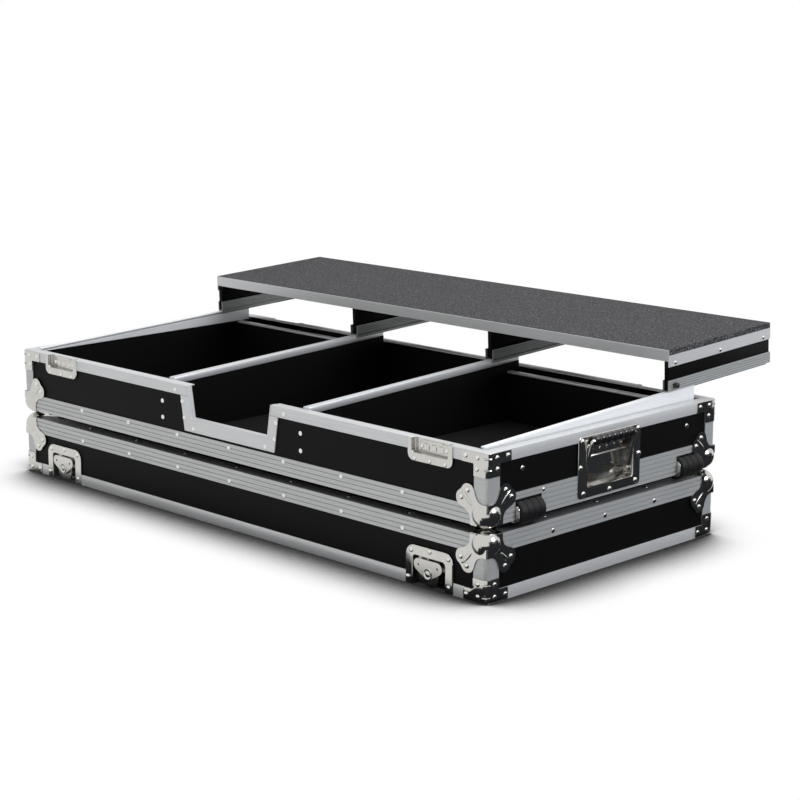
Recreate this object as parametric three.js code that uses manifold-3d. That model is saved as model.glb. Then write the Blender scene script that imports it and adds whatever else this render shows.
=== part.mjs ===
// A travelling case for two turntables and a mixer: a lid tray that stands rim down on the floor, a base tray
// stacked on its ball corners, and a laptop platform that glides on sloping tracks above the base.
// Millimetres, +X to the case's right, +Y to its back, +Z up.

import * as THREE from 'three';
import { mergeVertices } from 'three/addons/utils/BufferGeometryUtils.js';
import Module from 'manifold-3d';

const wasm = await Module();
wasm.setup();

// Driving dimensions of the whole case
const caseWidth = 1219;
const caseDepth = 576;
const lidHeight = 109;
const baseHeight = 116.5;
const boardThickness = 9;
const metalWall = 2;
const plateThickness = 1.5;
const clearance = 0.3;
const overrun = 5;

// Aluminium edge extrusions: their faces, flanges, ribs and vertical corner posts
const baseFrontFace = 30.3;
const baseSideFace = 44.4;
const lidFace = 29.6;
const edgeFlange = 30;
const grooveWidth = 1.6;
const grooveDepth = 0.7;
const groovePitch = 8;
const postFace = 28;
const postRadius = 7;

// Rim extrusions round the mouth of each tray
const baseRimFace = 18.9;
const lidRimFace = 20.5;
const rimWeb = 20;
const rimWebThickness = 3;

// Flat braces riveted over the rim corners
const baseBraceArm = 53;
const baseBraceHeight = 39;
const lidBraceArm = 48;
const lidBraceHeight = 39;
const braceEdge = 1;

// Ball corners: a pressed ball with a riveted leaf on each of the three faces
const ballRadius = 23;
const ballProud = 7.05;
const ballHollow = 11;
const leafSkirt = 40;
const leafWaist = 26;
const leafNear = 41;
const leafFar = 54;
const leafLobeRadius = 8;

// Butterfly latches on the lid and the keepers on the base that they hook into
const latchInset = 122.5;
const latchWidth = 104;
const latchHeight = 66;
const latchRadius = 18;
const latchBand = 14;
const latchLift = 1.2;
const latchDepth = 12;
const latchHubHeight = 24.8;
const hubPinRadius = 5;
const hubDiscRadius = 12;
const hubBossRadius = 9;
const wingThickness = 2.2;
const wingLobeOffset = 20.5;
const wingLobeRise = 12;
const wingLobeRadius = 10.3;
const wingRootRadius = 11;
const wingHoleRadius = 2;
const clawDepth = 2;
const clawThickness = 2.5;
const clawWidth = 32;
const clawHeight = 44;
const clawRadius = 12;
const clawTravel = 10;
const clawLip = 3.1;
const keeperInset = 121.5;
const keeperWidth = 98;
const keeperHeight = 37;
const keeperRadius = 12;
const keeperBand = 9;
const keeperDepth = 8;
const keeperCatchWidth = 44;
const keeperCatchThickness = 3;
const keeperCatchDrop = 2;
const keeperCatchReach = 3;

// Sprung end handles: pressed dish, bail and ribbed grip
const handleY = 3;
const handlePlateLength = 158;
const handlePlateHeight = 103;
const handleDrop = 9.5;
const handlePlateRadius = 8;
const handleDishHalf = 59.3;
const handleDishSill = 16;
const handleDishLintel = 13;
const handleDishDepth = 23;
const bailPivotDepth = 8;
const bailPivotRise = 13;
const bailRodRadius = 4;
const bailPinRadius = 4;
const bailPinEmboss = 4;
const gripRise = 65.5;
const gripReach = 9.5;
const gripHalfLength = 50;
const gripDepthRadius = 6.5;
const gripTallRadius = 9;
const gripRibPitch = 15.5;
const gripRibWaist = 1.6;
const gripRibs = 7;

// Travel wheels let into the bottom edge of the right end
const wheelFrontInset = 95;
const wheelRearInset = 75;
const wheelRadius = 20;
const wheelLength = 56;
const wheelBoreRadius = 4.6;
const wheelProud = 14;
const wheelAxleHeight = 10;
const axleRadius = 4;
const wheelGap = 1;
const wheelWrap = 1.5;
const cheekRadius = 15;

// Front cut-out that shows the mixer's face, with a riveted trim
const cutoutTopHalf = 111;
const cutoutBottomHalf = 101.5;
const cutoutBottom = 59.6;
const cutoutStrip = 22;
const cutoutSill = 25;

// Dividers, side boards, tracks and the low partitions behind the turntables
const dividerX = 178.4;
const dividerThickness = 14.5;
const trackInset = 23.3;
const trackThickness = 10;
const trackRise = 2.4;
const trackSlope = 0.041;
const trackSetback = 31;
const partitionSetback = 63;
const partitionThickness = 10;
const foamThickness = 10;
const padRebate = 1;
const padMargin = 1;

// Sliding platform above the base
const platformOverhang = 1.8;
const platformSetback = 104;
const platformDepth = 292;
const platformHeight = 72.5;
const deckThickness = 9.5;
const trimFace = 19.5;
const sideTrimFace = 20;
const railHeight = 19.5;
const railWall = 2.2;
const keyDrop = 2.6;
const keyHeight = 2;
const keyReach = 3;
const knobInset = 16.5;
const knobRadius = 4.8;
const knobLength = 8;
const shankRadius = 2.4;
const shankLength = 9;

// Facets of round pieces
const roundSides = 20;
const ballSides = 16;
const gripSides = 14;
const cornerSteps = 4;
const weld = 1e-4;

// Places that follow from the sizes above
const halfWidth = caseWidth / 2;
const halfDepth = caseDepth / 2;
const ballInset = ballRadius - ballProud;
const baseBottom = lidHeight + 2 * ballProud + clearance;
const boardFace = metalWall;
const boardBack = metalWall + boardThickness;
const baseFloor = metalWall + boardThickness;
const webUnderside = baseHeight - rimWebThickness;
const trackOuter = halfWidth - trackInset;
const trackInner = trackOuter - trackThickness;
const trackRear = halfDepth - trackSetback;
const partitionFront = halfDepth - partitionSetback;
const latchX = halfWidth - latchInset;
const keeperX = halfWidth - keeperInset;
const wheelFrontY = wheelFrontInset - halfDepth;
const wheelRearY = halfDepth - wheelRearInset;
const handlePlateTop = baseHeight - handleDrop;
const handlePlateBottom = handlePlateTop - handlePlateHeight;
const handleDishBottom = handlePlateBottom + handleDishSill;
const handleDishTop = handlePlateTop - handleDishLintel;
const bailPivotHeight = handleDishBottom + bailPivotRise;
const gripHeight = bailPivotHeight + gripRise;
const platformHalf = trackOuter + platformOverhang;
const platformFront = halfDepth - platformSetback;
const trackAngle = Math.atan(trackSlope);
const railGuide = keyDrop + keyHeight + clearance;
const platformRear = platformFront + platformDepth * Math.cos(trackAngle) + railGuide * Math.sin(trackAngle);
const frontReach = halfDepth + ballProud;
const originY = (platformRear - frontReach) / 2;

// Height of the sloping tracks above the base's underside at a place along the case's depth
function trackHeight(y) {
  return baseHeight + trackRise + trackSlope * (y + halfDepth);
}

// Materials
const laminate = () => new THREE.MeshStandardMaterial({ color: 0x17181a, roughness: 0.45, metalness: 0 });
const aluminium = () => new THREE.MeshStandardMaterial({ color: 0xc9cccd, roughness: 0.35, metalness: 0.9 });
const chrome = () => new THREE.MeshStandardMaterial({ color: 0xb9bbbc, roughness: 0.12, metalness: 1 });
const rubber = () => new THREE.MeshStandardMaterial({ color: 0x1c1c1e, roughness: 0.7, metalness: 0 });
const plastic = () => new THREE.MeshStandardMaterial({ color: 0x1a1a1b, roughness: 0.4, metalness: 0 });
const foam = () => new THREE.MeshStandardMaterial({ color: 0x121213, roughness: 0.95, metalness: 0 });

// A closed solid that can be joined and cut, from a three.js geometry
function solid(geometry) {
  geometry.deleteAttribute('normal');
  geometry.deleteAttribute('uv');
  const merged = mergeVertices(geometry, weld);
  const mesh = new wasm.Mesh({
    numProp: 3,
    vertProperties: new Float32Array(merged.attributes.position.array),
    triVerts: new Uint32Array(merged.index.array),
  });
  return new wasm.Manifold(mesh);
}

// A named mesh from a solid
function part(name, shape, material) {
  const { vertProperties, triVerts } = shape.getMesh();
  const geometry = new THREE.BufferGeometry();
  geometry.setAttribute('position', new THREE.BufferAttribute(new Float32Array(vertProperties), 3));
  geometry.setIndex(new THREE.BufferAttribute(new Uint32Array(triVerts), 1));
  geometry.computeVertexNormals();
  const mesh = new THREE.Mesh(geometry, material);
  mesh.name = name;
  return mesh;
}

// A box between two planes on each axis
function block(x0, x1, y0, y1, z0, z1) {
  const geometry = new THREE.BoxGeometry(x1 - x0, y1 - y0, z1 - z0);
  geometry.translate((x0 + x1) / 2, (y0 + y1) / 2, (z0 + z1) / 2);
  return solid(geometry);
}

// An outline pushed along one axis. Its points are (y, z) along x, (x, z) along y and (x, y) along z.
function prism(axis, points, from, to, holes = []) {
  const shape = new THREE.Shape(points.map(([u, v]) => new THREE.Vector2(u, v)));
  for (const hole of holes) shape.holes.push(new THREE.Path(hole.map(([u, v]) => new THREE.Vector2(u, v))));
  const geometry = new THREE.ExtrudeGeometry(shape, { depth: to - from, bevelEnabled: false, steps: 1 });
  const unitX = new THREE.Vector3(1, 0, 0);
  const unitY = new THREE.Vector3(0, 1, 0);
  const unitZ = new THREE.Vector3(0, 0, 1);
  const turn = new THREE.Matrix4();
  if (axis === 'x') turn.makeBasis(unitY, unitZ, unitX).setPosition(from, 0, 0);
  if (axis === 'y') turn.makeBasis(unitX, unitZ, unitY.clone().negate()).setPosition(0, to, 0);
  if (axis === 'z') turn.setPosition(0, 0, from);
  geometry.applyMatrix4(turn);
  return solid(geometry);
}

// A round bar along one axis, through a point given in the other two
function rod(axis, radius, from, to, across, sides = roundSides) {
  return prism(axis, arc(across, radius, 0, 2 * Math.PI, sides).slice(0, sides), from, to);
}

// Points on an arc of a circle
function arc([u, v], radius, start, end, steps) {
  const points = [];
  for (let i = 0; i <= steps; i += 1) {
    const angle = start + ((end - start) * i) / steps;
    points.push([u + radius * Math.cos(angle), v + radius * Math.sin(angle)]);
  }
  return points;
}

// A rectangle whose four corners have their own radii: lower right, upper right, upper left, lower left
function roundedRectangle(u0, u1, v0, v1, radii) {
  const [lowerRight, upperRight, upperLeft, lowerLeft] = radii;
  const quarter = Math.PI / 2;
  const corner = (u, v, radius, start) =>
    radius > 0 ? arc([u, v], radius, start, start + quarter, cornerSteps) : [[u, v]];
  return [
    ...corner(u1 - lowerRight, v0 + lowerRight, lowerRight, -quarter),
    ...corner(u1 - upperRight, v1 - upperRight, upperRight, 0),
    ...corner(u0 + upperLeft, v1 - upperLeft, upperLeft, quarter),
    ...corner(u0 + lowerLeft, v0 + lowerLeft, lowerLeft, 2 * quarter),
  ];
}

// The outline that a tight band round some circles would have
function bandRound(circles) {
  const points = circles.flatMap(([u, v, radius]) => arc([u, v], radius, 0, 2 * Math.PI, roundSides));
  points.sort((a, b) => a[0] - b[0] || a[1] - b[1]);
  const turnsLeft = (a, b, c) => (b[0] - a[0]) * (c[1] - a[1]) - (b[1] - a[1]) * (c[0] - a[0]) > weld;
  const chain = (list) => {
    const kept = [];
    for (const point of list) {
      while (kept.length > 1 && !turnsLeft(kept[kept.length - 2], kept[kept.length - 1], point)) kept.pop();
      kept.push(point);
    }
    kept.pop();
    return kept;
  };
  return [...chain(points), ...chain([...points].reverse())];
}

// A straight extrusion on one side of the case. Its outline is (depth in from the face, height).
function bar(side, outline, halfLength) {
  const signs = { front: -1, rear: 1, left: -1, right: 1 };
  const along = side === 'front' || side === 'rear' ? 'x' : 'y';
  const face = along === 'x' ? halfDepth : halfWidth;
  const points = outline.map(([depth, height]) => [signs[side] * (face - depth), height]);
  return prism(along, points, -halfLength, halfLength);
}

// An angle with a ribbed face, standing on the flange at height zero
function ribbedAngle(faceHeight) {
  const outline = [[edgeFlange, 0], [0, 0]];
  const grooves = Math.floor((faceHeight - groovePitch / 2) / groovePitch);
  const firstGroove = (faceHeight - (grooves - 1) * groovePitch) / 2;
  for (let i = 0; i < grooves; i += 1) {
    const middle = firstGroove + i * groovePitch;
    outline.push([0, middle - grooveWidth / 2], [grooveDepth, middle - grooveWidth / 4]);
    outline.push([grooveDepth, middle + grooveWidth / 4], [0, middle + grooveWidth / 2]);
  }
  outline.push([0, faceHeight], [metalWall, faceHeight], [metalWall, metalWall], [edgeFlange, metalWall]);
  return outline;
}

// A rim angle, written downwards from the rim at height zero
function rimAngle(faceHeight) {
  return [
    [0, 0], [0, -faceHeight], [metalWall, -faceHeight], [metalWall, -rimWebThickness],
    [rimWeb, -rimWebThickness], [rimWeb, 0],
  ];
}

// An outline turned over and set at a height
function turnedOver(outline, height) {
  return outline.map(([depth, z]) => [depth, height - z]);
}

// The four sides of a frame, joined into one
function ring(outlineOf) {
  const sides = ['front', 'rear', 'left', 'right'];
  const bars = sides.map((side) => bar(side, outlineOf(side), side === 'front' || side === 'rear' ? halfWidth : halfDepth));
  return bars.reduce((whole, next) => whole.add(next));
}

const cornerSigns = [[1, -1], [1, 1], [-1, 1], [-1, -1]];

// The upright angle at each corner of a tray
function posts(bottom, top) {
  const radius = postRadius;
  const inner = radius - metalWall;
  const outline = (signX, signY) => {
    const local = [
      [postFace, 0], [postFace, metalWall],
      ...arc([radius, radius], inner, 1.5 * Math.PI, Math.PI, cornerSteps),
      [metalWall, postFace], [0, postFace],
      ...arc([radius, radius], radius, Math.PI, 1.5 * Math.PI, cornerSteps),
    ];
    return local.map(([u, v]) => [signX * (halfWidth - u), signY * (halfDepth - v)]);
  };
  const all = cornerSigns.map(([signX, signY]) => prism('z', outline(signX, signY), bottom, top));
  return all.reduce((whole, next) => whole.add(next));
}

// What is cut off the upright edges of the square frames so that they follow the posts' radius
function roundEdges(bottom, top) {
  const outline = (signX, signY) => {
    const local = [
      [-overrun, -overrun], [postRadius, -overrun], [postRadius, 0],
      ...arc([postRadius, postRadius], postRadius, 1.5 * Math.PI, Math.PI, cornerSteps).slice(1),
      [-overrun, postRadius],
    ];
    return local.map(([u, v]) => [signX * (halfWidth - u), signY * (halfDepth - v)]);
  };
  const all = cornerSigns.map(([signX, signY]) => prism('z', outline(signX, signY), bottom, top));
  return all.reduce((whole, next) => whole.add(next));
}

// The room that the ball corners need in a tray whose closed face is at a height, up or down
function ballRelief(faceHeight, inward) {
  const radius = (ballRadius + clearance) / Math.cos(Math.PI / ballSides) ** 2;
  const inset = ballInset + clearance;
  const middle = faceHeight + inward * ballInset;
  const shapes = cornerSigns.map(([signX, signY]) => {
    const sphere = new THREE.SphereGeometry(radius, ballSides, ballSides / 2);
    sphere.translate(signX * (halfWidth - ballInset), signY * (halfDepth - ballInset), middle);
    const xs = [signX * (halfWidth - inset), signX * (halfWidth + overrun)].sort((a, b) => a - b);
    const ys = [signY * (halfDepth - inset), signY * (halfDepth + overrun)].sort((a, b) => a - b);
    const zs = [faceHeight - inward * overrun, faceHeight + inward * inset].sort((a, b) => a - b);
    return solid(sphere).add(block(...xs, ...ys, ...zs));
  });
  return shapes.reduce((whole, next) => whole.add(next));
}

// Flat corner braces, which are riveted to the rim and count as part of it
function braces(rimHeight, inward, arm, height, armHeight) {
  const plates = [];
  for (const [signX, signY] of cornerSigns) {
    const outline = (sign, face) => {
      const local = [
        [0, braceEdge], [arm, braceEdge], [arm, armHeight], [postFace, armHeight], [postFace, height], [0, height],
      ];
      return local.map(([u, v]) => [sign * (face - u), rimHeight + inward * v]);
    };
    const xs = [signX * (halfWidth - metalWall / 2), signX * (halfWidth + plateThickness)].sort((a, b) => a - b);
    const ys = [signY * (halfDepth - metalWall / 2), signY * (halfDepth + plateThickness)].sort((a, b) => a - b);
    plates.push(prism('x', outline(signY, halfDepth + plateThickness), ...xs));
    plates.push(prism('y', outline(signX, halfWidth + plateThickness), ...ys));
  }
  return plates.reduce((whole, next) => whole.add(next));
}

// The room left behind each brace by the upright posts, so that the plates lie on them
function postRoom(bottom, top) {
  const room = posts(bottom, top);
  const inside = block(
    -halfWidth + metalWall, halfWidth - metalWall, -halfDepth + metalWall, halfDepth - metalWall, bottom, top);
  return room.add(inside);
}

// One ball corner, for the front right corner of the base: outwards is +x, -y and -z
function ballCornerShape() {
  const sphere = new THREE.SphereGeometry(ballRadius, ballSides, ballSides / 2);
  sphere.translate(-ballInset, ballInset, ballInset);
  const lobe = arc([leafFar, leafNear], leafLobeRadius, -Math.PI / 2, Math.PI / 4, cornerSteps);
  const half = [
    [leafSkirt, -plateThickness], [leafSkirt, leafWaist], [leafSkirt + wheelWrap, leafNear - leafLobeRadius], ...lobe,
  ];
  const mirrored = half.map(([u, v]) => [v, u]).reverse();
  const middle = [ballInset, ballInset];
  const root = arc(middle, ballInset + plateThickness, Math.PI, 1.5 * Math.PI, cornerSteps);
  const leaf = [...root, ...half, ...mirrored];
  const rightLeaf = prism('x', leaf, 0, plateThickness);
  const frontLeaf = prism('y', leaf.map(([u, v]) => [-u, v]), -plateThickness, 0);
  const underLeaf = prism('z', leaf.map(([u, v]) => [-u, v]), -plateThickness, 0);
  const hollow = block(
    -2 * ballRadius, ballHollow - ballInset, ballInset - ballHollow, 2 * ballRadius,
    ballInset - ballHollow, 2 * ballRadius);
  return solid(sphere).subtract(hollow).add(rightLeaf).add(frontLeaf).add(underLeaf);
}

// The slanted front cut-out, grown by a margin on its three closed sides
function cutoutOutline(margin, top) {
  const lean = (cutoutTopHalf - cutoutBottomHalf) / (baseHeight - cutoutBottom);
  const half = (z) => cutoutBottomHalf + lean * (z - cutoutBottom) + margin;
  const bottom = cutoutBottom - margin;
  return [[-half(bottom), bottom], [half(bottom), bottom], [half(top), top], [-half(top), top]];
}

// The latch's pressed frame: a square foot on the rim and two round shoulders
function latchOutline(inset) {
  const half = latchWidth / 2 - inset;
  const radius = Math.max(latchRadius - inset, 0);
  return roundedRectangle(-half, half, latchLift, latchHeight - inset, [0, radius, radius, 0]);
}

// A keeper's outline hangs from the rim, with its lower corners rounded
function keeperOutline(inset) {
  const half = keeperWidth / 2 - inset;
  const radius = Math.max(keeperRadius - inset, 0);
  const bottom = baseHeight - keeperHeight + inset;
  return roundedRectangle(-half, half, bottom, baseHeight, [radius, 0, 0, radius]);
}

const latchWall = latchDepth + plateThickness;
const keeperWall = keeperDepth + plateThickness;

// What one latch takes out of the lid's wall and rim, in front of the case at its middle
function latchRoom() {
  const half = latchWidth / 2 - latchBand + plateThickness + clearance;
  const top = latchHeight - latchBand + plateThickness + clearance;
  return [-half, half, -overrun, latchWall + clearance, -overrun, top];
}

// What one keeper takes out of the base's wall or rim, to a depth
function keeperRoom(depth) {
  const half = keeperWidth / 2 - keeperBand + plateThickness + clearance;
  const bottom = baseHeight - keeperHeight + keeperBand - plateThickness - clearance;
  return [-half, half, -overrun, depth, bottom, baseHeight + overrun];
}

// The same room at both places on the front and on the rear
function fourRooms(room, middle) {
  const [x0, x1, d0, d1, z0, z1] = room;
  const shapes = [];
  for (const x of [-middle, middle]) {
    shapes.push(block(x + x0, x + x1, -halfDepth + d0, -halfDepth + d1, z0, z1));
    shapes.push(block(x + x0, x + x1, halfDepth - d1, halfDepth - d0, z0, z1));
  }
  return shapes.reduce((whole, next) => whole.add(next));
}

// The latch's dish, in the place of a latch at the middle of the front
function latchDishShape() {
  const pocketHalf = latchWidth / 2 - latchBand;
  const pocketTop = latchHeight - latchBand;
  const wall = plateThickness;
  const flange = prism('y', latchOutline(0), -halfDepth - plateThickness, -halfDepth);
  const pan = block(
    -pocketHalf - wall, pocketHalf + wall, -halfDepth - plateThickness, -halfDepth + latchWall,
    latchLift, pocketTop + wall);
  const hollow = block(
    -pocketHalf, pocketHalf, -halfDepth - overrun, -halfDepth + latchDepth, -overrun, pocketTop);
  return flange.add(pan).subtract(hollow);
}

const clawFront = -halfDepth + clawDepth;
const clawBack = clawFront + clawThickness;
const wingBack = -halfDepth - plateThickness - clearance;
const wingFront = wingBack - wingThickness;

// The hub turns on the dish's floor, holds the claw between its disc and its boss, and carries the wing
function latchHubShape() {
  const middle = [0, latchHubHeight];
  const disc = rod('y', hubDiscRadius, wingBack + clearance, clawFront - clearance, middle);
  const boss = rod('y', hubBossRadius, clawBack + clearance, -halfDepth + latchDepth - clearance, middle);
  return disc.add(rod('y', hubPinRadius, clawFront - clawThickness, clawBack + clawThickness, middle)).add(boss);
}

// The two-lobed wing lies flat on the hub
function latchWingShape() {
  const lobeHeight = latchHubHeight + wingLobeRise;
  const outline = bandRound([
    [0, latchHubHeight, wingRootRadius],
    [-wingLobeOffset, lobeHeight, wingLobeRadius],
    [wingLobeOffset, lobeHeight, wingLobeRadius],
  ]);
  const wing = prism('y', outline, wingFront, wingBack);
  const hole = (x) => rod('y', wingHoleRadius, wingFront - overrun, wingBack + overrun, [x, lobeHeight], 10);
  return wing.subtract(hole(-wingLobeOffset)).subtract(hole(wingLobeOffset));
}

// The claw slides on the hub's pin, through a slot as long as its travel
function latchClawShape() {
  const half = clawWidth / 2;
  const outline = roundedRectangle(-half, half, latchLift, latchLift + clawHeight, [clawRadius, 0, 0, clawRadius]);
  const slotRadius = hubPinRadius + clearance;
  const slot = bandRound([
    [0, latchHubHeight, slotRadius],
    [0, latchHubHeight + clawTravel, slotRadius],
  ]);
  const plate = prism('y', outline, clawFront, clawBack, [slot]);
  const lipHalf = half - clawRadius;
  return plate.add(
    block(-lipHalf, lipHalf, clawFront, clawBack + clawLip, latchLift, latchLift + clawThickness));
}

// A keeper: a shallow dish open at the rim, with a ledge for the claw
function keeperShape() {
  const pocketHalf = keeperWidth / 2 - keeperBand;
  const pocketBottom = baseHeight - keeperHeight + keeperBand;
  const flange = prism('y', keeperOutline(0), -halfDepth - plateThickness, -halfDepth);
  const pan = block(
    -pocketHalf - plateThickness, pocketHalf + plateThickness, -halfDepth - plateThickness,
    -halfDepth + keeperWall, pocketBottom - plateThickness, baseHeight);
  const hollow = block(
    -pocketHalf, pocketHalf, -halfDepth - overrun, -halfDepth + keeperDepth, pocketBottom, baseHeight + overrun);
  const catchTop = baseHeight - keeperCatchDrop;
  const ledge = block(
    -keeperCatchWidth / 2, keeperCatchWidth / 2, -halfDepth + keeperDepth - keeperCatchReach,
    -halfDepth + keeperWall, catchTop - keeperCatchThickness, catchTop);
  return flange.add(pan).subtract(hollow).add(ledge);
}

// The handle's pressed dish on the right end
function handleDishShape() {
  const half = handlePlateLength / 2;
  const radii = [handlePlateRadius, handlePlateRadius, handlePlateRadius, handlePlateRadius];
  const outline = roundedRectangle(
    handleY - half, handleY + half, handlePlateBottom, handlePlateBottom + handlePlateHeight, radii);
  const plate = prism('x', outline, halfWidth, halfWidth + metalWall);
  const wall = plateThickness;
  const pan = block(
    halfWidth - handleDishDepth - wall, halfWidth + metalWall,
    handleY - handleDishHalf - wall, handleY + handleDishHalf + wall,
    handleDishBottom - wall, handleDishTop + wall);
  const hollow = block(
    halfWidth - handleDishDepth, halfWidth + overrun, handleY - handleDishHalf, handleY + handleDishHalf,
    handleDishBottom, handleDishTop);
  return plate.add(pan).subtract(hollow);
}

// What a handle's dish takes out of the end of the tray
function handleRoom(sign) {
  const margin = plateThickness + clearance;
  const xs = [sign * (halfWidth - handleDishDepth - margin), sign * (halfWidth + overrun)].sort((a, b) => a - b);
  const middle = sign * handleY;
  return block(
    ...xs, middle - handleDishHalf - margin, middle + handleDishHalf + margin,
    handleDishBottom - margin, handleDishTop + margin);
}

// A straight rod between two points, for the bail's leaning arms
function strut(from, to, radius) {
  const path = new THREE.LineCurve3(from, to);
  const circle = new THREE.Shape(
    arc([0, 0], radius, 0, 2 * Math.PI, roundSides / 2).slice(0, roundSides / 2)
      .map(([u, v]) => new THREE.Vector2(u, v)));
  return solid(new THREE.ExtrudeGeometry(circle, { extrudePath: path, steps: 1, bevelEnabled: false }));
}

// The bail: two arms on short pins and a ribbed grip between them
function handleBailShape() {
  const armY = handleDishHalf - bailRodRadius - clearance * 2;
  const pivot = new THREE.Vector3(halfWidth - bailPivotDepth, 0, bailPivotHeight);
  const grip = new THREE.Vector3(halfWidth + gripReach, 0, gripHeight);
  const along = grip.clone().sub(pivot).normalize().multiplyScalar(bailRodRadius / 2);
  const shapes = [];
  for (const side of [-1, 1]) {
    const shift = new THREE.Vector3(0, handleY + side * armY, 0);
    shapes.push(strut(pivot.clone().add(shift).sub(along), grip.clone().add(shift).add(along), bailRodRadius));
    const ends = [handleY + side * (armY - bailPinEmboss), handleY + side * (handleDishHalf - clearance)];
    ends.sort((a, b) => a - b);
    shapes.push(rod('y', bailPinRadius, ends[0], ends[1], [pivot.x, pivot.z], roundSides / 2));
  }
  shapes.push(rod('y', bailRodRadius, handleY - armY, handleY + armY, [grip.x, grip.z], roundSides / 2));
  const ribLength = gripRibPitch - gripRibWaist;
  const ellipse = (shrink) => arc([0, 0], 1, 0, 2 * Math.PI, gripSides).slice(0, gripSides)
    .map(([u, v]) => [grip.x + u * (gripDepthRadius - shrink), grip.z + v * (gripTallRadius - shrink)]);
  shapes.push(prism('y', ellipse(gripRibWaist), handleY - gripHalfLength, handleY + gripHalfLength));
  const firstRib = handleY - (gripRibs * gripRibPitch - gripRibWaist) / 2;
  for (let i = 0; i < gripRibs; i += 1) {
    const start = Math.max(firstRib + i * gripRibPitch, handleY - gripHalfLength);
    const end = Math.min(firstRib + i * gripRibPitch + ribLength, handleY + gripHalfLength);
    shapes.push(prism('y', ellipse(0), start, end));
  }
  return shapes.reduce((whole, next) => whole.add(next));
}

const axleX = halfWidth + wheelProud - wheelRadius;
const wheelRoomX = axleX - wheelRadius - wheelGap;
const wheelRoomTop = wheelAxleHeight + wheelRadius + wheelGap;
const wheelRoomHalf = wheelLength / 2 + wheelGap;

// A wheel's housing: a bent sheet round three sides, with ears that hold the axle
function wheelHousingShape(y) {
  const wall = wheelWrap;
  const half = wheelRoomHalf + wall;
  const box = block(wheelRoomX - wall, halfWidth, y - half, y + half, 0, wheelRoomTop + wall);
  const hollow = block(
    wheelRoomX, halfWidth + overrun, y - wheelRoomHalf, y + wheelRoomHalf, -overrun, wheelRoomTop);
  const ear = (from, to) => rod('y', cheekRadius, from, to, [axleX, wheelAxleHeight]);
  const ears = ear(y - half, y - wheelRoomHalf).add(ear(y + wheelRoomHalf, y + half));
  return box.subtract(hollow).add(ears).add(rod('y', axleRadius, y - half, y + half, [axleX, wheelAxleHeight]));
}

// What a wheel's housing takes out of the base
function wheelRoom(y) {
  const half = wheelRoomHalf + wheelWrap + clearance;
  return block(
    wheelRoomX - wheelWrap - clearance, halfWidth + overrun, y - half, y + half,
    -overrun, wheelRoomTop + wheelWrap + clearance);
}

// A rubber-tyred roller with its bore
function wheelShape(y) {
  const from = y - wheelLength / 2;
  const to = y + wheelLength / 2;
  const bore = rod('y', wheelBoreRadius, from - overrun, to + overrun, [axleX, wheelAxleHeight]);
  return rod('y', wheelRadius, from, to, [axleX, wheelAxleHeight]).subtract(bore);
}

const wheelRooms = () => wheelRoom(wheelFrontY).add(wheelRoom(wheelRearY));
const handleRooms = () => handleRoom(1).add(handleRoom(-1));

// Lid

const lid = new THREE.Group();

function lidShell() {
  const outerX = halfWidth - boardFace;
  const outerY = halfDepth - boardFace;
  const top = lidHeight - metalWall;
  const outer = block(-outerX, outerX, -outerY, outerY, rimWebThickness, top);
  const inner = block(
    -outerX + boardThickness, outerX - boardThickness, -outerY + boardThickness, outerY - boardThickness,
    -overrun, top - boardThickness);
  return outer.subtract(inner).subtract(postCorners(rimWebThickness, lidHeight))
    .subtract(ballRelief(lidHeight, -1)).subtract(fourRooms(latchRoom(), latchX));
}

// The boards' corners are eased where the posts' inner radius passes
function postCorners(bottom, top) {
  const ease = postRadius - metalWall;
  const corners = cornerSigns.map(([signX, signY]) => {
    const local = [
      [metalWall - overrun, metalWall - overrun], [metalWall + ease, metalWall - overrun],
      [metalWall + ease, metalWall], [metalWall, metalWall + ease], [metalWall - overrun, metalWall + ease],
    ];
    return prism('z', local.map(([u, v]) => [signX * (halfWidth - u), signY * (halfDepth - v)]), bottom, top);
  });
  return corners.reduce((whole, next) => whole.add(next));
}

function lidEdgeFrame() {
  const outline = turnedOver(ribbedAngle(lidFace), lidHeight);
  return ring(() => outline).add(posts(lidRimFace, lidHeight))
    .subtract(roundEdges(-overrun, lidHeight + overrun)).subtract(ballRelief(lidHeight, -1))
    .subtract(fourRooms(latchRoom(), latchX));
}

function lidRimFrame() {
  const outline = turnedOver(rimAngle(lidRimFace), 0);
  return ring(() => outline).subtract(roundEdges(-overrun, lidHeight))
    .add(braces(0, 1, lidBraceArm, lidBraceHeight, lidRimFace)
      .subtract(postRoom(lidRimFace, lidBraceHeight + overrun)))
    .subtract(fourRooms(latchRoom(), latchX));
}

lid.add(part('lid_panel_shell', lidShell(), laminate()));
lid.add(part('lid_edge_frame', lidEdgeFrame(), aluminium()));
lid.add(part('lid_rim_frame', lidRimFrame(), aluminium()));

const cornerNames = ['front_right', 'rear_right', 'rear_left', 'front_left'];

// A ball corner at each corner of one closed face, turned round the upright axis
cornerNames.forEach((name, i) => {
  const turned = new THREE.Group();
  turned.rotation.z = (i * Math.PI) / 2;
  const corner = part(`lid_ball_corner_${name}`, ballCornerShape(), chrome());
  const swap = new THREE.Quaternion().setFromAxisAngle(new THREE.Vector3(1, -1, 0).normalize(), Math.PI);
  corner.quaternion.copy(swap);
  const lengthwise = i % 2 === 0;
  corner.position.set(lengthwise ? halfWidth : halfDepth, lengthwise ? -halfDepth : -halfWidth, lidHeight);
  turned.add(corner);
  lid.add(turned);
});

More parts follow.
